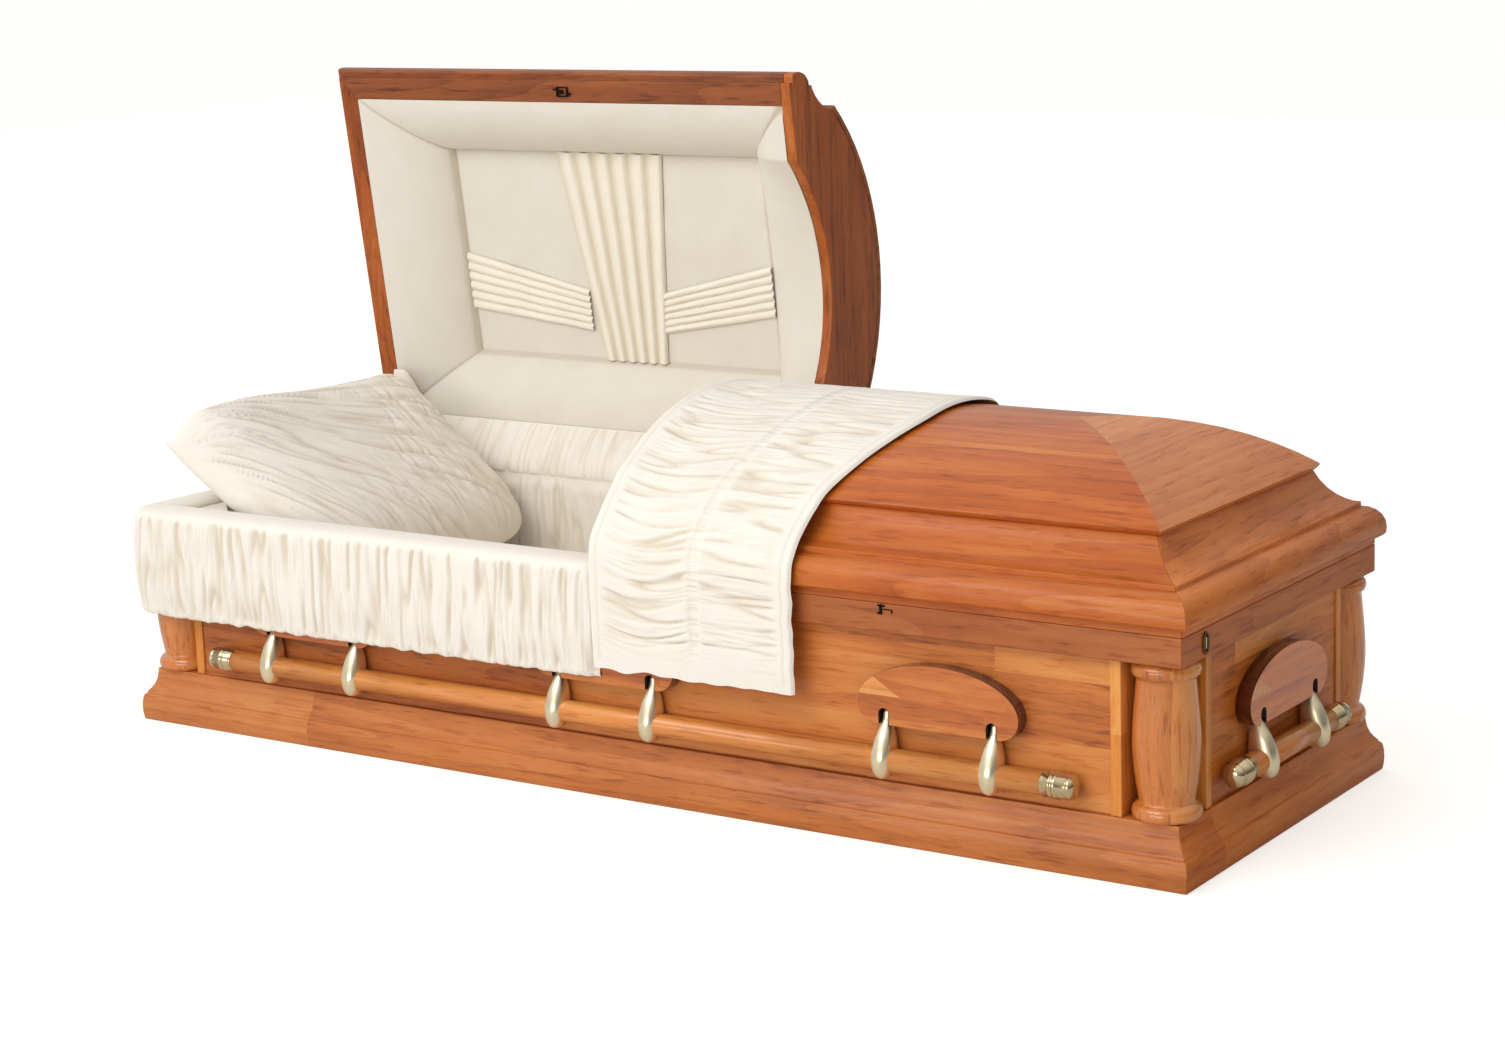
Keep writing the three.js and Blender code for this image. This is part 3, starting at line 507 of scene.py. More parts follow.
latch("foot_latch_hook", "foot_lid_latch", "casket",
      [((0, 0, 0), (0.004, 0.003, 0.016)), ((0.001, 0, 0.006), (0.012, 0.003, 0.003)),
       ((-0.003, 0, -0.006), (0.006, 0.003, 0.003)), ((0.012, 0.0004, 0.0005), (0.016, 0.0014, 0.0014)),
       ((0.0195, 0.0002, -0.002), (0.0016, 0.002, 0.006))])
latch("head_latch_hook", "head_lid_latch", "head_lid",
      [((0, 0, 0.008), (0.026, 0.002, 0.0025)), ((0, 0, -0.008), (0.026, 0.002, 0.0025)),
       ((-0.011, 0, 0), (0.004, 0.004, 0.018)), ((0.011, 0, 0), (0.004, 0.004, 0.018)),
       ((-0.002, 0.0004, 0), (0.010, 0.002, 0.008)), ((-0.017, 0, 0.004), (0.008, 0.002, 0.003)),
       ((0.016, 0, -0.004), (0.006, 0.002, 0.004))])

# Lock plate: an oval of aged brass on the foot end, near the front corner, with a raised rim round a
# sunk face painted near black as the shade in its recess, and an upright tab of polished brass.
def arc(centre, radii, start, end, steps):
    """Points on an ellipse's arc, from the start angle to the end angle, in degrees."""
    angles = [math.radians(start + (end - start) * i / steps) for i in range(steps + 1)]
    return [(centre[0] + radii[0] * math.cos(a), centre[1] + radii[1] * math.sin(a)) for a in angles]


plate_rim, plate_slope, plate_sunk = 0.0022, 0.0004, 0.0016
tab_size, tab_behind = (0.0018, 0.0035), 0.0014
low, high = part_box("lock_plate")
middle, half = (low + high) / 2, (high - low) / 2
mesh = bmesh.new()
oval = arc((middle.y, middle.z), (half.y, half.z), 0, 360, 28)[:-1]
plate = mesh.faces.new([mesh.verts.new((low.x, y, z)) for y, z in oval])
raised = bmesh.ops.extrude_face_region(mesh, geom=[plate])["geom"]
front = next(g for g in raised if isinstance(g, bmesh.types.BMFace))
bmesh.ops.translate(mesh, verts=front.verts[:], vec=(high.x - low.x, 0, 0))
bmesh.ops.inset_region(mesh, faces=[front], thickness=plate_rim, depth=0.0)
bmesh.ops.inset_region(mesh, faces=[front], thickness=plate_slope, depth=-plate_sunk)
# Painted shade: the sunk face takes the near-black steel.
front.material_index = 1
tab = bmesh.ops.create_cube(mesh, size=1)["verts"]
bmesh.ops.scale(mesh, verts=tab, vec=(*tab_size, (high.z - low.z) * 0.5))
bmesh.ops.translate(mesh, verts=tab, vec=(high.x - tab_behind, middle.y, middle.z))
for face in {f for v in tab for f in v.link_faces}:
    face.material_index = 2
bmesh.ops.recalc_face_normals(mesh, faces=mesh.faces)
hard = [e for e in mesh.edges if e.calc_face_angle(0) > curve_limit]
rounded(mesh, hard, 0.0003)
lock = new_piece("lock_plate_metal", mesh, dark_brass, latch_steel, cap_brass)
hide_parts("lock_plate")
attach(lock, "casket")

# Ear boards: half-oval boards on the walls with two keyhole slots, cut from glued strips, their front
# edges rounded over, stained dark and highly lacquered. The slots are blind; their sides and backs are
# painted near black as the shade inside them.
wall_face = {"front": 0.337, "back": 0.337, "head": 1.026, "foot": 1.026}
wall_turn = {"front": 0, "back": math.pi, "head": -math.pi / 2, "foot": math.pi / 2}


def on_wall(side):
    """Turns a piece made before the plane y = 0, x along it, onto the face of a wall."""
    face = wall_face[side]
    centre = {"front": (0, -face, 0), "back": (0, face, 0), "head": (-face, 0, 0), "foot": (face, 0, 0)}
    return Matrix.Translation(centre[side]) @ Matrix.Rotation(wall_turn[side], 4, "Z")


ear_tones = ("8a421c", "c0682c", "d98f4a")
# Partly painted light: the end ears' tones are set apart for the light on the ends.
ear_across_tones = ("a04a14", "d87228", "f0a04a")
ear_long, ear_across = wood_pair("ear_long", ear_tones, "ear_across", ear_across_tones,
                                 board=(0.034, 0.3), contrast=0.22, rings=(18, 0.14), rough=0.24,
                                 lacquer=0.6)
# Painted highlight: a lighter wood for a triangle at the upper left of each ear's face.
ear_painted_highlight = wood("ear_painted_highlight", ("a85c2a", "dc8f4c", "efb473"), board=(0.4, 0.4), contrast=0.1, rough=0.24,
                 lacquer=0.6)
ear_edge = wood("ear_edge", ("2e1006", "5e2a12", "8a4722"), board=(0.4, 0.4), contrast=0.2, rough=0.14,
                lacquer=1.0)
# Painted shade: near-black wood for the slots' insides.
ear_slot_painted_shade = wood("ear_slot_painted_shade", ("080403", "120906", "1c0f09"), board=(0.4, 0.4), contrast=0.2, rough=0.5,
                  lacquer=0.0)
ear_half, ear_thickness, ear_bottom = 0.142, 0.026, 0.193
ear_round = 0.0072
slot_out, slot_half, slot_straight = 0.095, 0.0095, 0.0165
patch_top, patch_left, patch_right = (-0.098, 0.066), (-0.142, 0.046), (-0.065, 0.046)
ear_outline = [p for s in (1, -1) for p in
               [(s * slot_out + slot_half, 0)] + arc((s * slot_out, slot_straight), (slot_half, slot_half),
                                                    0, 180, 12) + [(s * slot_out - slot_half, 0)]]
ear_outline += (arc((-0.108, 0.034), (0.034, 0.034), -90, -180, 9)
                + arc((0, 0.034), (ear_half, 0.068), 180, 0, 44)[1:-1]
                + arc((0.108, 0.034), (0.034, 0.034), 0, -90, 9))


def ear_mesh(along):
    mesh = bmesh.new()
    front = [mesh.verts.new((x, -ear_thickness, ear_bottom + z)) for x, z in ear_outline]
    mesh.faces.new(front)
    back = bmesh.ops.extrude_face_region(mesh, geom=mesh.faces[:])["geom"]
    moved = [v for v in back if isinstance(v, bmesh.types.BMVert)]
    bmesh.ops.translate(mesh, verts=moved, vec=(0, ear_thickness - 0.0005, 0))
    bmesh.ops.recalc_face_normals(mesh, faces=mesh.faces)

    def in_slot(v):
        return abs(abs(v.co.x) - slot_out) < slot_half + 1e-4 and v.co.z < ear_bottom + 0.0262

    rim = [e for e in mesh.edges if all(v.co.y < -ear_thickness + 1e-5 for v in e.verts)
           and not all(in_slot(v) for v in e.verts) and max(v.co.z for v in e.verts) > ear_bottom + 1e-5]
    for face in mesh.faces:
        if abs(face.normal.y) < 0.5:
            face.smooth = True
            face.material_index = 3 if all(in_slot(v) for v in face.verts) else 2
    make_smooth(rounded(mesh, rim, ear_round, 5, 2))
    # Painted highlight: the face is cut along two lines, and the triangle at its upper left takes the
    # lighter wood.
    for a, b in ((patch_top, patch_right), (patch_left, patch_right)):
        faces = [f for f in mesh.faces if f.normal.y < -0.99 and f.material_index < 2]
        edges = {e for f in faces for e in f.edges}
        verts = {v for f in faces for v in f.verts}
        bmesh.ops.bisect_plane(mesh, geom=faces + list(edges) + list(verts),
                               plane_co=(a[0], 0, ear_bottom + a[1]),
                               plane_no=(b[1] - a[1], 0, a[0] - b[0]))
    fall = (patch_right[1] - patch_top[1]) / (patch_right[0] - patch_top[0])
    for face in mesh.faces:
        middle = face.calc_center_median()
        z = middle.z - ear_bottom
        in_patch = (middle.x < patch_right[0] and z > patch_right[1]
                    and z - patch_top[1] < (middle.x - patch_top[0]) * fall)
        if face.normal.y < -0.99 and face.material_index < 2 and in_patch:
            face.material_index = 1
    # Painted shade: a near-black sheet at the back of each slot.
    for s in (1, -1):
        slot = arc((s * slot_out, slot_straight), (slot_half, slot_half), 0, 180, 12)
        slot = [(s * slot_out + slot_half, 0)] + slot[1:-1] + [(s * slot_out - slot_half, 0)]
        pocket = mesh.faces.new([mesh.verts.new((x, -0.0008, ear_bottom + z)) for x, z in slot])
        pocket.material_index = 3
    bmesh.ops.translate(mesh, verts=mesh.verts, vec=(along, 0, 0))
    return mesh


ear_places = [(f"ear_{face}_{place}", face, along) for face in ("front", "back")
              for place, along in (("left", -0.634), ("middle", 0), ("right", 0.634))]
ear_places += [("ear_head", "head", 0), ("ear_foot", "foot", 0)]
for name, side, along in ear_places:
    mesh = ear_mesh(along)
    bmesh.ops.transform(mesh, matrix=on_wall(side), verts=mesh.verts)
    ear = new_piece(f"{name}_wood", mesh, ear_across if side in ends else ear_long, ear_painted_highlight, ear_edge,
                    ear_slot_painted_shade)
    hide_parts(name)
    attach(ear, "casket")

# Swing bars: a turned wooden bar held by cast brass arms that hang in the ears' slots, with a ringed
# brass cap on each end. A bar swings out as one with its arms and caps.
bar_radius = 0.0185
bar_height = 0.137
bar_stand_off = 0.0243
arm_places = {"front": [-0.729, -0.539, -0.095, 0.095, 0.539, 0.729], "head": [-0.095, 0.095]}
arm_places["back"], arm_places["foot"] = arm_places["front"], arm_places["head"]
bar_half = {"front": 0.875, "back": 0.875, "head": 0.208, "foot": 0.208}
cap_length = 0.058
bar_tones = ("a65a22", "dc8a42", "f0b36c")
bar_long, bar_across = wood_pair("bar_long", bar_tones, "bar_across", bar_tones, board=(0.2, 3.0),
                                 contrast=0.1, rings=(10, 0.07), rough=0.28, lacquer=0.6)


def join_mesh(target, part, matrix):
    """Adds a part's faces to the target, moved by the matrix."""
    data = bpy.data.meshes.new("part")
    bmesh.ops.transform(part, matrix=matrix, verts=part.verts)
    bmesh.ops.recalc_face_normals(part, faces=part.faces)
    part.to_mesh(data)
    part.free()
    target.from_mesh(data)
    bpy.data.meshes.remove(data)


def spline(points, share):
    """A point on a smooth curve through the points."""
    at = min(max(share, 0), 1) * (len(points) - 1)
    i = min(int(at), len(points) - 2)
    t = at - i
    p = [Vector(points[min(max(i + k, 0), len(points) - 1)]) for k in (-1, 0, 1, 2)]
    return 0.5 * ((2 * p[1]) + (p[2] - p[0]) * t + (2 * p[0] - 5 * p[1] + 4 * p[2] - p[3]) * t * t
                  + (3 * p[1] - p[0] - 3 * p[2] + p[3]) * t ** 3)


arm_levels = [(0.2150, 0.0130, 0.0030, 0.0035), (0.2120, 0.0130, 0.0050, 0.0060),
              (0.2060, 0.0132, 0.0060, 0.0066), (0.1990, 0.0142, 0.0066, 0.0074),
              (0.1900, 0.0165, 0.0086, 0.0105), (0.1760, 0.0200, 0.0122, 0.0165),
              (0.1630, 0.0228, 0.0144, 0.0200), (0.1500, 0.0252, 0.0156, 0.0225),
              (0.1370, 0.0264, 0.0158, 0.0238), (0.1250, 0.0264, 0.0146, 0.0232),
              (0.1160, 0.0266, 0.0118, 0.0205), (0.1105, 0.0270, 0.0080, 0.0155),
              (0.1082, 0.0273, 0.0034, 0.0080)]
arm_section = [(0.3, -1), (0.78, -0.8), (1.04, -0.4), (1.08, 0.3), (0.85, 0.85), (0.4, 1), (-0.4, 1),
               (-0.85, 0.85), (-1.08, 0.3), (-1.06, -0.4), (-0.84, -0.8), (-0.3, -0.96)]


def arm_mesh(along):
    """A cast arm: a narrow shank that widens to a pointed oval around the bar, with a ridge down its
    front, a little to one side."""
    mesh = bmesh.new()
    rings = []
    for step in range(31):
        z, out, thick, deep = spline([Vector(level) for level in arm_levels], step / 30)
        verts = [mesh.verts.new((along + a * thick, -out + b * deep, z)) for a, b in arm_section]
        rings.append([mesh.edges.new((verts[i], verts[(i + 1) % len(verts)])) for i in range(len(verts))])
    for upper, lower in zip(rings, rings[1:]):
        bmesh.ops.bridge_loops(mesh, edges=upper + lower)
    bmesh.ops.contextual_create(mesh, geom=rings[0])
    bmesh.ops.contextual_create(mesh, geom=rings[-1])
    bmesh.ops.recalc_face_normals(mesh, faces=mesh.faces)
    make_smooth(mesh.faces)
    ridges = [e for e in mesh.edges if e.calc_face_angle(0) > math.radians(38)]
    rounded(mesh, ridges, 0.0006)
    return mesh


cap_outline = [(0.0, 0.0), (0.0004, 0.006), (0.0022, 0.0122), (0.0052, 0.0165), (0.0088, 0.0188),
               (0.0125, 0.0196), (0.0136, 0.0186), (0.0146, 0.0186), (0.0158, 0.0197),
               (0.0300, 0.0199), (0.0306, 0.0212), (0.0330, 0.0217), (0.0354, 0.0212),
               (0.0360, 0.0199), (0.0388, 0.0199), (0.0394, 0.0209), (0.0412, 0.0213),
               (0.0430, 0.0209), (0.0436, 0.0199), (0.0560, 0.0198), (0.0580, 0.0190),
               (0.0580, bar_radius)]
for side in wall_face:
    on_bar = on_wall(side) @ Matrix.Translation((0, -bar_stand_off, bar_height))
    half = bar_half[side]
    inside = half - cap_length + 0.002
    rod_outline = [(-inside, 0, 0), (-inside, 0, bar_radius), (inside, 0, bar_radius), (inside, 0, 0)]
    rod = turned(rod_outline, (1, 0, 0), 40)
    bmesh.ops.transform(rod, matrix=on_bar, verts=rod.verts)
    for f in rod.faces:
        f.smooth = len(f.verts) == 4
    bar = new_piece(f"{side}_bar_wood", rod, bar_across if side in ends else bar_long)
    arms = bmesh.new()
    for along in arm_places[side]:
        join_mesh(arms, arm_mesh(along), on_wall(side))
    arms = new_piece(f"{side}_bar_arms", arms, brass)
    caps = bmesh.new()
    for end in (-1, 1):
        outline = [(end * (half - along), 0, radius) for along, radius in cap_outline]
        join_mesh(caps, turned(outline, (1, 0, 0), 32), on_bar)
    make_smooth(caps.faces)
    caps = new_piece(f"{side}_bar_caps", caps, cap_brass)
    for piece in (bar, arms, caps):
        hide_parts(f"swing_bar_{side}")
        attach(piece, f"{side}_bar")


# Body lining: crepe gathered on threads down the walls, from a plain band at the rim to the bed. It
# runs round the inside, and cuts across the corners.
def cloth(name, tone, shade, crease_shade, fine=1.0):
    """Ivory crepe with a fine crinkle and a soft sheen, and painted shade down in the creases of its
    folds, as deep as the mesh's attribute gives them."""
    material, tree, shader = new_material(name)
    place = object_place(tree)
    crinkle = noise_texture(tree, place, 420.0 / fine, 3.0, 0.6)
    blotch = noise_texture(tree, place, 16.0)
    mixed = math_node(tree, "ADD", math_node(tree, "MULTIPLY", crinkle, 0.55),
                      math_node(tree, "MULTIPLY", blotch, 0.45))
    plain = colour_ramp(tree, mixed, (0.3, shade), (0.7, tone))
    deep = add_node(tree, "ShaderNodeAttribute", attribute_name="crease_shade").outputs["Fac"]
    # Painted shade: the creases' colour is mixed in by how deep the mesh says they lie.
    dyed = add_node(tree, "ShaderNodeMixRGB", {"Fac": deep, "Color1": plain, "Color2": colour(crease_shade)})
    set_inputs(tree, shader, {
        "Base Color": dyed.outputs["Color"], "Normal": bump(tree, crinkle, 0.35, 0.0008),
        "Roughness": 0.85, "Specular IOR Level": 0.25, "Sheen Weight": 0.15})
    return material


ivory = cloth("ivory_crepe", "f0ebe1", "eae3d7", "d9ccb7")


def pucker(along, across, pitch, length, seed):
    """Depth from 0 to 1 of gathered cloth: narrow creases between soft folds, a pitch apart along, that
    run across and fade in and out."""
    drift = 0.35 * noise.noise(Vector((along / length * 0.5, across / length * 0.8, seed)))
    first = noise.noise(Vector((along / pitch + drift, across / length, seed + 7.3)))
    second = noise.noise(Vector((along / pitch * 2.1 + drift * 1.5, across / length * 1.4, seed + 3.1)))
    fade = 0.6 + noise.noise(Vector((along / pitch * 0.7, across / length * 1.7, seed + 11.0))) * 1.5
    deep = max(0.0, 1 - abs(first) * 3.4) ** 1.5 * min(max(fade, 0.12), 1.0)
    return min(1.0, deep + max(0.0, 1 - abs(second) * 3.6) ** 1.5 * 0.3 * min(max(1.2 - fade, 0.1), 1))


def ease(value, low, high):
    """0 below low, 1 above high, and smooth between them."""
    share = min(max((value - low) / (high - low), 0), 1)
    return share * share * (3 - 2 * share)


def cloth_grid(name, columns, rows, place, material=ivory):
    """A sheet as a grid, whose point at u along and v across is the first three of place(u, v), and
    the fourth is how deep in the creases it lies, 0 to 1, which the cloth paints as shade."""
    mesh = bmesh.new()
    bmesh.ops.create_grid(mesh, x_segments=columns, y_segments=rows, size=0.5)
    crease_shade = mesh.verts.layers.float.new("crease_shade")
    for vert in mesh.verts:
        *point, deep = place(vert.co.x + 0.5, vert.co.y + 0.5)
        vert.co = point
        vert[crease_shade] = deep
    make_smooth(mesh.faces)
    return new_piece(name, mesh, material)


lining_half = (0.9857, 0.2967)
lining_corner = (0.1103, 0.110)
lining_low, lining_high = 0.215, 0.3815
ring_corners = []
for sx, sy in ((1, -1), (1, 1), (-1, 1), (-1, -1)):
    near_end = (sx * lining_half[0], sy * (lining_half[1] - lining_corner[1]))
    near_side = (sx * (lining_half[0] - lining_corner[0]), sy * lining_half[1])
    ring_corners += [near_side, near_end] if sx * sy < 0 else [near_end, near_side]
ring_lengths = [0.0]
for a, b in zip(ring_corners, ring_corners[1:] + ring_corners[:1]):
    ring_lengths.append(ring_lengths[-1] + math.dist(a, b))


def ring_place(distance):
    """Point and inward direction at a distance round the lining's ring."""
    distance %= ring_lengths[-1]
    i = max(k for k in range(8) if ring_lengths[k] <= distance)
    a, b = Vector(ring_corners[i]), Vector(ring_corners[(i + 1) % 8])
    t = (distance - ring_lengths[i]) / (ring_lengths[i + 1] - ring_lengths[i])
    direction = (b - a).normalized()
    return a.lerp(b, t), Vector((-direction.y, direction.x))


def lining_place(u, v):
    distance = u * ring_lengths[-1]
    point, inward = ring_place(distance)
    z = lining_low + v * (lining_high - lining_low)
    full = ease(lining_high - z, 0.012, 0.035)
    thread = math.exp(-((lining_high - z - 0.052) / 0.004) ** 2) * 0.5
    deep = full * pucker(distance, z, 0.018, 0.16, 4.0) * (1 - 0.5 * thread)
    depth = 0.0035 + 0.0065 * full - 0.0085 * deep - 0.002 * thread
    depth = max(0.0012, depth * (1 - ease(v, 0.985, 1) * 0.6))
    return (point.x + inward.x * depth, point.y + inward.y * depth, z, deep * 0.8)


lining = cloth_grid("body_lining_cloth", 2000, 30, lining_place)
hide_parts("body_lining")
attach(lining, "casket")

# Corner gussets: small puffed triangles of the same crepe that close the corners between the lining
# and the rails, over the corner posts.
gussets = bmesh.new()
for sx, sy in ((1, 1), (1, -1), (-1, 1), (-1, -1)):
    far = Vector((sx * (lining_half[0] + 0.0004), sy * (lining_half[1] + 0.0004), lining_high - 0.0012))
    a = far - Vector((sx * (lining_corner[0] + 0.002), 0, 0))
    b = far - Vector((0, sy * (lining_corner[1] + 0.002), 0))
    patch = gussets.faces.new([gussets.verts.new(p) for p in (far, a, b)])
    bmesh.ops.subdivide_edges(gussets, edges=patch.edges[:], cuts=11, use_grid_fill=True)
bmesh.ops.triangulate(gussets, faces=[f for f in gussets.faces if len(f.verts) > 4])
gusset_crease = gussets.verts.layers.float.new("crease_shade")
for vert in gussets.verts:
    inside = min(lining_half[0] - abs(vert.co.x), lining_half[1] - abs(vert.co.y),
                 (abs(vert.co.x) + abs(vert.co.y) - sum(lining_half) + lining_corner[0]) * 0.7)
    vert[gusset_crease] = 0.5 * pucker(vert.co.x, vert.co.y, 0.014, 0.06, 17.0)
    vert.co.z -= 0.003 * ease(inside, 0, 0.02) + 0.002 * vert[gusset_crease]
bmesh.ops.recalc_face_normals(gussets, faces=gussets.faces)
make_smooth(gussets.faces)
gussets = new_piece("corner_gussets", gussets, ivory)
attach(gussets, "casket")

# Mattress: a flat padded bed inside the lining, covered with the same crepe. Its corners are cut like
# the lining's, and its edges fall away.
bed_top = 0.232


def bed_place(u, v):
    x = -0.985 + u * 1.97
    y = -0.296 + v * 0.592
    cut = max(0.0, abs(x) + abs(y) - (lining_half[0] + lining_half[1] - lining_corner[0]))
    x -= math.copysign(cut / 2, x)
    y -= math.copysign(cut / 2, y)
    edge = min(lining_half[0] - abs(x), lining_half[1] - abs(y)) / 0.05
    fall = 0.018 * (1 - ease(edge, 0.1, 1))
    deep = pucker(x, y, 0.05, 0.16, 9.0) * ease(edge, 0, 0.8)
    return (x, y, bed_top - fall + 0.006 * (1 - deep), deep * 0.6)


bed = cloth_grid("mattress_cover", 200, 70, bed_place)
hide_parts("mattress")
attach(bed, "casket")

# Apron: a gathered skirt that is rolled over the front rim and round the head end, and hangs before
# the wall. It has a plain band on the roll, and a fine gather above its hem.
apron_front = [(-0.066, 0.374), (-0.064, 0.390), (-0.048, 0.3975), (-0.024, 0.3985), (-0.004, 0.3955),
               (0.0065, 0.3875), (0.0105, 0.370), (0.0125, 0.335), (0.0135, 0.295), (0.0125, 0.255),
               (0.0095, 0.226), (0.0075, 0.209), (0.004, 0.2045), (0.0015, 0.211)]
apron_end = [(-0.066, 0.372), (-0.065, 0.3805), (-0.048, 0.3845), (-0.024, 0.3850), (-0.004, 0.3838),
             (0.0065, 0.380), (0.0105, 0.366), (0.0125, 0.335), (0.0135, 0.305), (0.0125, 0.275),
             (0.0095, 0.252), (0.0075, 0.239), (0.004, 0.2345), (0.0015, 0.241)]
half_length, half_width = 1.054, 0.365
apron_split = -0.0015
apron_turn = 0.05
apron_back = 0.285
front_run = half_length - apron_turn + apron_split
corner_run = apron_turn * math.pi / 2
end_run = apron_back + half_width - apron_turn
apron_run = front_run + corner_run + end_run


def apron_place(u, v):
    distance = u * apron_run
    gone = ease(distance, front_run * 0.9, apron_run)
    out, z = spline(apron_front, v).lerp(spline(apron_end, v), gone)
    band = ease(v, 0.385, 0.44)
    hem = ease(v, 0.79, 0.85)
    pleat = band * pucker(distance, z, 0.0205, 0.17, 21.0) * (1 - 0.6 * hem)
    fine = hem * pucker(distance, z, 0.0085, 0.06, 31.0)
    tucked = 1 - ease(distance, 0.004, 0.03)
    deep = min(1.0, pleat + 0.5 * fine)
    sway = 0.003 * band * noise.noise(Vector((distance * 7, z * 5, 2.0)))
    z += 0.0035 * hem * noise.noise(Vector((distance * 42, 1.0, 5.0)))
    out += 0.0035 * band + sway - 0.0088 * pleat - 0.003 * fine - 0.0065 * tucked * ease(v, 0.3, 0.42)
    if distance < front_run:
        return (apron_split - distance, -half_width - out, z, deep)
    if distance < front_run + corner_run:
        angle = (distance - front_run) / apron_turn
        radius = apron_turn + out
        return (-half_length + apron_turn - radius * math.sin(angle),
                -half_width + apron_turn - radius * math.cos(angle), z, deep)
    return (-half_length - out, -half_width + apron_turn + distance - front_run - corner_run, z, deep)


apron = cloth_grid("apron_skirt", 940, 98, apron_place)
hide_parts("apron")
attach(apron, "casket")
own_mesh(apron)

# Throw: a shirred cloth laid over the closed half, hanging down the front, with a plain hem all round
# and a gathering thread down its middle. The part below the rim is a separate piece.
throw_path = [(-0.3745, 0.2245), (-0.3765, 0.2700), (-0.3770, 0.3300), (-0.3765, 0.3800),
              (-0.3755, 0.4120), (-0.3700, 0.4370), (-0.3560, 0.4580), (-0.3350, 0.4830),
              (-0.3120, 0.5070), (-0.2890, 0.5300), (-0.2500, 0.5560), (-0.2000, 0.5850),
              (-0.1400, 0.6090), (-0.0700, 0.6250), (0.0, 0.6310), (0.0700, 0.6265), (0.1400, 0.6110),
              (0.2000, 0.5880), (0.2500, 0.5590), (0.2880, 0.5310), (0.3140, 0.5000), (0.3370, 0.4660)]
throw_lengths = [0.0]
for a, b in zip(throw_path, throw_path[1:]):
    throw_lengths.append(throw_lengths[-1] + math.dist(a, b))
throw_length = throw_lengths[-1]
throw_left = -0.0068
throw_width = 0.392
throw_flare = 0.085
thread_share = 0.53  # of the throw's width, from its left side


def throw_point(distance):
    i = max(k for k in range(len(throw_path) - 1) if throw_lengths[k] <= distance + 1e-9)
    t = (distance - throw_lengths[i]) / (throw_lengths[i + 1] - throw_lengths[i])
    return spline(throw_path, (i + min(t, 1)) / (len(throw_path) - 1))


def throw_place_between(start, end):
    def place(u, v):
        distance = start + v * (end - start)
        y, z = throw_point(distance)
        ahead = throw_point(min(distance + 0.004, throw_length))
        behind = throw_point(max(distance - 0.004, 0))
        tangent = (ahead - behind).normalized()
        normal = Vector((-tangent.y, tangent.x))
        ridge = ease(1 - abs(y) / half_width, 0, 0.8)
        width = throw_width + throw_flare * ridge
        side = min(u, 1 - u) * width
        middle = abs(u - thread_share) * width
        if u < thread_share:
            sag = 0.016 * math.sin(math.pi * min(max((u - 0.06) / 0.44, 0), 1))
        else:
            sag = 0.010 * (u - thread_share)
        shirr = ease(side, 0.020, 0.045) * (0.25 + 0.75 * ease(middle, 0.004, 0.03))
        shirr *= ease(distance, 0.022, 0.06) * ease(throw_length - distance, 0.01, 0.04)
        deep = shirr * pucker(distance + sag, u * width, 0.0175, 0.19, 41.0)
        thread = ease(0.014 - middle, 0, 0.010) * ease(distance, 0.03, 0.06)
        fine = thread * pucker(distance, 0, 0.007, 0.03, 51.0)
        seam = math.exp(-((side - 0.017) / 0.0018) ** 2) * ease(distance, 0.015, 0.02)
        depth = 0.0052 - 0.0068 * deep - 0.0028 * fine - 0.002 * thread - 0.0012 * seam
        depth += 0.002 * noise.noise(Vector((u * 5, distance * 8, 8.0)))
        hanging = ease(0.30 - distance, 0, 0.15)
        x = throw_left + u * width
        x += ease(u, 0.8, 1) * 0.0035 * hanging * noise.noise(Vector((distance * 38, 3.0, 1.0)))
        hang = ease(0.05 - distance, 0, 0.05) * 0.005 * noise.noise(Vector((u * 9, 6.0, 2.0)))
        depth -= (1 - ease(side, 0, 0.005)) * 0.0045
        depth = max(depth, -0.0015)
        shade = min(1.0, deep + 0.4 * fine + 0.4 * seam)
        return (x, y + normal.x * depth, z + normal.y * depth + hang, shade)

    return place


flap_steps = 4  # of the path, up to just above the rim
flap_end = throw_lengths[flap_steps]
flap = cloth_grid("throw_flap", 180, 100, throw_place_between(0, flap_end))
throw = cloth_grid("throw_over_lid", 180, 430, throw_place_between(flap_end, throw_length))
for piece in (throw, flap):
    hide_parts("throw")
    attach(piece, "foot_lid")
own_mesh(flap)

# Pillow: a loose crowned pillow that leans on the head end, of the same crepe, with wrinkles that run
# between its corners.
pillow_corners = {"head_front": Vector((-1.032, -0.296, 0.504)),
                  "head_back": Vector((-0.960, 0.272, 0.553)),
                  "foot_front": Vector((-0.655, -0.262, 0.252)),
                  "foot_back": Vector((-0.610, 0.272, 0.262))}
pillow_thickness = 0.084
pillow_peak = 0.034


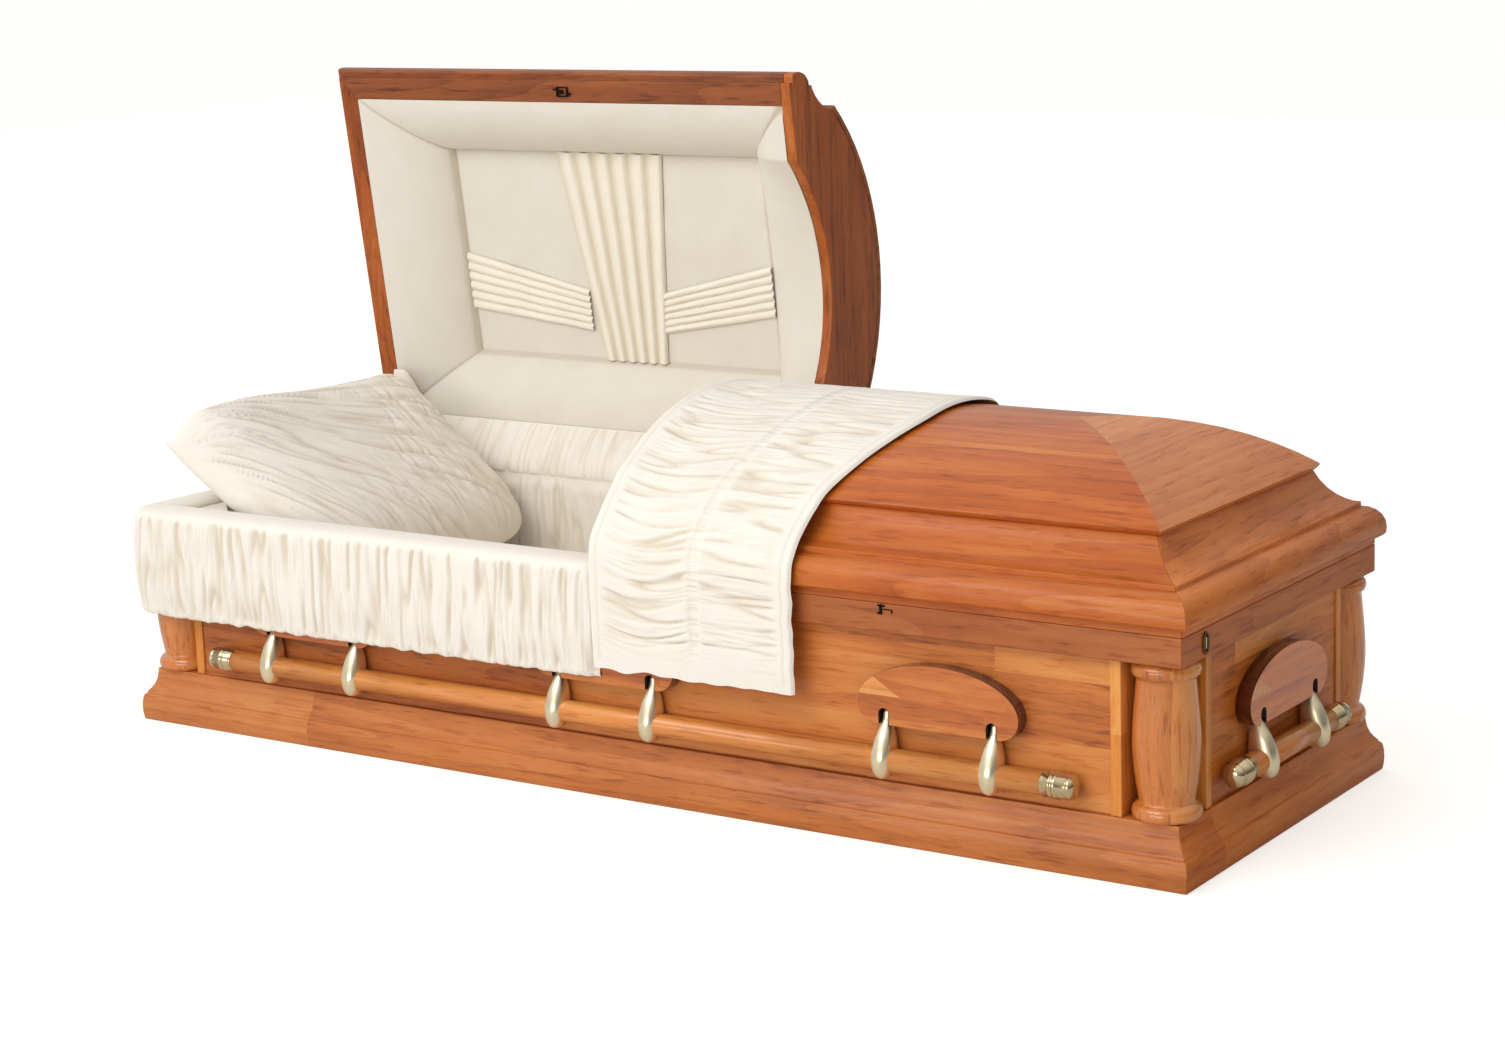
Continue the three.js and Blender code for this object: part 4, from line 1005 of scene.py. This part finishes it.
def pillow_place_on(face):
    along = (pillow_corners["head_front"] - pillow_corners["foot_front"]).normalized()
    normal = along.cross(Vector((0, 1, 0))) * -1

    def place(u, v):
        a, b = u * 2 - 1, v * 2 - 1
        corner = (0.03 if a > 0 else 0.13) * abs(a * b) ** 4
        pull_a = a * (1 - 0.035 * (1 - b ** 4) - corner)
        pull_b = b * (1 - 0.035 * (1 - a ** 4) - corner)
        foot = pillow_corners["foot_front"].lerp(pillow_corners["foot_back"], (pull_b + 1) / 2)
        head = pillow_corners["head_front"].lerp(pillow_corners["head_back"], (pull_b + 1) / 2)
        at = foot.lerp(head, (pull_a + 1) / 2)
        at.z += pillow_peak * ease(a, 0.2, 1) * ease(b, -1, -0.76) * (1 - ease(b, -0.76, 0.5))
        crown = max(0.0, (1 - a ** 4)) ** 0.5 * max(0.0, (1 - b ** 4)) ** 0.5
        run, rise = (b + 1.15) * 0.28, (1.15 - a) * 0.24
        reach = math.hypot(run, rise)
        turn = math.atan2(rise, run)
        inner = min(crown * 2.2, 1)
        deep = inner * pucker(turn * 0.34, reach, 0.0150, 0.20, 61.0)
        deep *= 0.45 + 0.55 * ease(reach, 0.05, 0.2)
        deep += 0.6 * inner * pucker(run, rise, 0.018, 0.14, 71.0) * ease(reach, 0.35, 0.55)
        deep = min(deep, 1.0) * (face > 0)
        height = pillow_thickness * crown * (1.0 if face > 0 else 0.75) - 0.0085 * deep
        return (*(at + normal * height * face), deep * 0.65)

    return place


pillow_mesh = bmesh.new()
pillow_crease = pillow_mesh.verts.layers.float.new("crease_shade")
for face in (1, -1):
    made = bmesh.ops.create_grid(pillow_mesh, x_segments=150, y_segments=180, size=0.5)["verts"]
    place = pillow_place_on(face)
    for vert in made:
        *point, deep = place(vert.co.x + 0.5, vert.co.y + 0.5)
        vert.co = point
        vert[pillow_crease] = deep
bmesh.ops.remove_doubles(pillow_mesh, verts=pillow_mesh.verts, dist=1e-4)
bmesh.ops.recalc_face_normals(pillow_mesh, faces=pillow_mesh.faces)
make_smooth(pillow_mesh.faces)
pillow = new_piece("pillow_cushion", pillow_mesh, ivory)
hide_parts("pillow")
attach(pillow, "casket")
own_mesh(pillow)

# Hinge cloth: shirred crepe from the body lining's back rim up to the open lid's padding. It hides the
# hinges and ends in a small gusset up the lid's end rail.
hinge_cloth_path = [(0.2935, 0.3700), (0.2925, 0.3850), (0.2975, 0.4020), (0.3090, 0.4220),
                    (0.3240, 0.4410), (0.3370, 0.4540), (0.3452, 0.4612)]


def hinge_cloth_place(u, v):
    x = -0.996 + u * 0.9635
    y, z = spline(hinge_cloth_path, v)
    gusset = ease(-x, 0.918, 0.972) * ease(v, 0.6, 1)
    y -= 0.026 * gusset
    z += 0.088 * gusset
    band = ease(v, 0.0, 0.12) * (1 - ease(v, 0.9, 1))
    deep = band * pucker(x, z, 0.017, 0.15, 81.0) * (1 - gusset)
    depth = 0.004 * band - 0.006 * deep
    return (x, y - depth * 0.7, z - depth * 0.7, deep * 0.8)


hinge_cloth = cloth_grid("hinge_cover_cloth", 430, 34, hinge_cloth_place)
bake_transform(hinge_cloth)

# Lid linings: a padded border that rises from the rim to a recessed panel, with mitred seams, whose
# grooves are darkened as painted shade. At the split the border follows the header's arch. Their cloth
# is a little darker than the body's, partly its own greyer colour and partly painted shade, as it faces
# down.
rim_level = 0.3828
panel_depth = 0.080
border_side, border_end = 0.111, 0.156
lining_reach = (1.0017, 0.3127)
split_edge = {"head_lid": 0.0289, "foot_lid": 0.0133}
arch_rise, arch_half = 0.071, 0.215
arch_radius = (arch_half ** 2 + arch_rise ** 2) / (2 * arch_rise)


def border_profile(share):
    share = min(max(share, 0), 1)
    return 0.6 * (1 - math.sqrt(1 - share * share)) + 0.4 * share * share


def lid_lining_height(x, y, start):
    """Depth above the rim of the lining's face, x measured from the split towards the lid's end."""
    shares = sorted([(lining_reach[1] - abs(y)) / border_side, (lining_reach[0] - x) / border_end])
    around = border_profile(shares[0])
    arch = max(0.0, arch_rise - arch_radius + math.sqrt(max(0.0, arch_radius ** 2 - y * y)))
    from_split = (x - start) / border_side
    split_side = (arch + (panel_depth - arch) * border_profile(from_split)) / panel_depth
    seam = 0.0
    if shares[0] < 1 and shares[1] < 1.3:
        seam = math.exp(-((shares[0] - shares[1]) * 0.12 / 0.0022) ** 2)
    if abs(around - split_side) < 0.06 and from_split < 1:
        seam = max(seam, math.exp(-((around - split_side) / 0.012) ** 2))
    edge = min(min(shares), from_split)
    if 0.9 < edge < 1.1:
        seam = max(seam, math.exp(-((edge - 1) * 0.11 / 0.002) ** 2))
    puff = 0.002 * noise.noise(Vector((x * 9, y * 9, 4.0))) * ease(min(shares), 0.02, 0.2)
    return min(around, split_side) * panel_depth + seam * 0.0025 + puff, seam


# Partly painted shade: the lid cloth's tones are darker than the body's, as the linings face down.
lid_cloth = cloth("lid_crepe", "e3ddd1", "dcd5c6", "b9aa90", fine=1.4)
pleat_cloth = cloth("pleated_crepe", "f1eadc", "ebe3d2", "cdbd9f")


def lid_lining(lid, sign, to_lid):
    start = split_edge[lid]

    def place(u, v):
        x = start + u * (lining_reach[0] - start)
        y = -lining_reach[1] + v * 2 * lining_reach[1]
        height, seam = lid_lining_height(x, y, start)
        # Painted shade: the seams' grooves are darkened through the crease colour.
        return (*(to_lid @ Vector((sign * x, y, rim_level + 0.0006 + height))), seam * 0.75)

    columns, rows = (330, 200) if lid == "head_lid" else (150, 100)
    piece = cloth_grid(f"{lid}_padding", columns, rows, place, lid_cloth)
    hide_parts(f"{lid}_lining")
    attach(piece, lid)


lid_lining("head_lid", -1, opening)
lid_lining("foot_lid", 1, Matrix.Identity(4))

# Fan and bands: pleated crepe over the head lid's panel, a tapering fan down the middle and a band
# that narrows to it from each side. The fan's pleats lie to one side, the bands' are round.
knife_lift = 0.007


def pleated(name, near, far, pleats, lift, seed):
    """Pleats from the edge near (two points) to the edge far (two points), on the lid's panel."""

    def place(u, v):
        a = Vector(near[0]).lerp(Vector(near[1]), u)
        b = Vector(far[0]).lerp(Vector(far[1]), u)
        at = a.lerp(b, v)
        wave = (u * pleats + 0.06 * noise.noise(Vector((u * 3, v * 4, seed)))) % 1
        if lift > knife_lift:
            fold = ease(wave, 0, 0.8) * (1 - ease(wave, 0.9, 1.0))
        else:
            fold = math.sin(math.pi * wave) ** 0.7
        rise = 0.0012 + lift * fold + 0.001 * noise.noise(Vector((u * 20, v * 6, seed)))
        point = opening @ Vector((at.x, at.y, rim_level + panel_depth - rise))
        # Painted shade: the valleys between the pleats are darkened through the crease colour.
        return (*point, (1 - fold) ** 3 * 0.6)

    piece = cloth_grid(name, pleats * 14, 60, place, pleat_cloth)
    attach(piece, "head_lid")


pleated("lid_band_end", [(-0.846, 0.002), (-0.846, 0.115)],
        [(-0.560, 0.064), (-0.560, 0.145)], 6, 0.006, 1.0)
pleated("lid_band_split", [(-0.139, 0.000), (-0.139, 0.097)],
        [(-0.400, 0.066), (-0.400, 0.143)], 6, 0.006, 2.0)
pleated("lid_fan", [(-0.601, -0.202), (-0.356, -0.202)],
        [(-0.541, 0.200), (-0.396, 0.200)], 6, 0.008, 3.0)
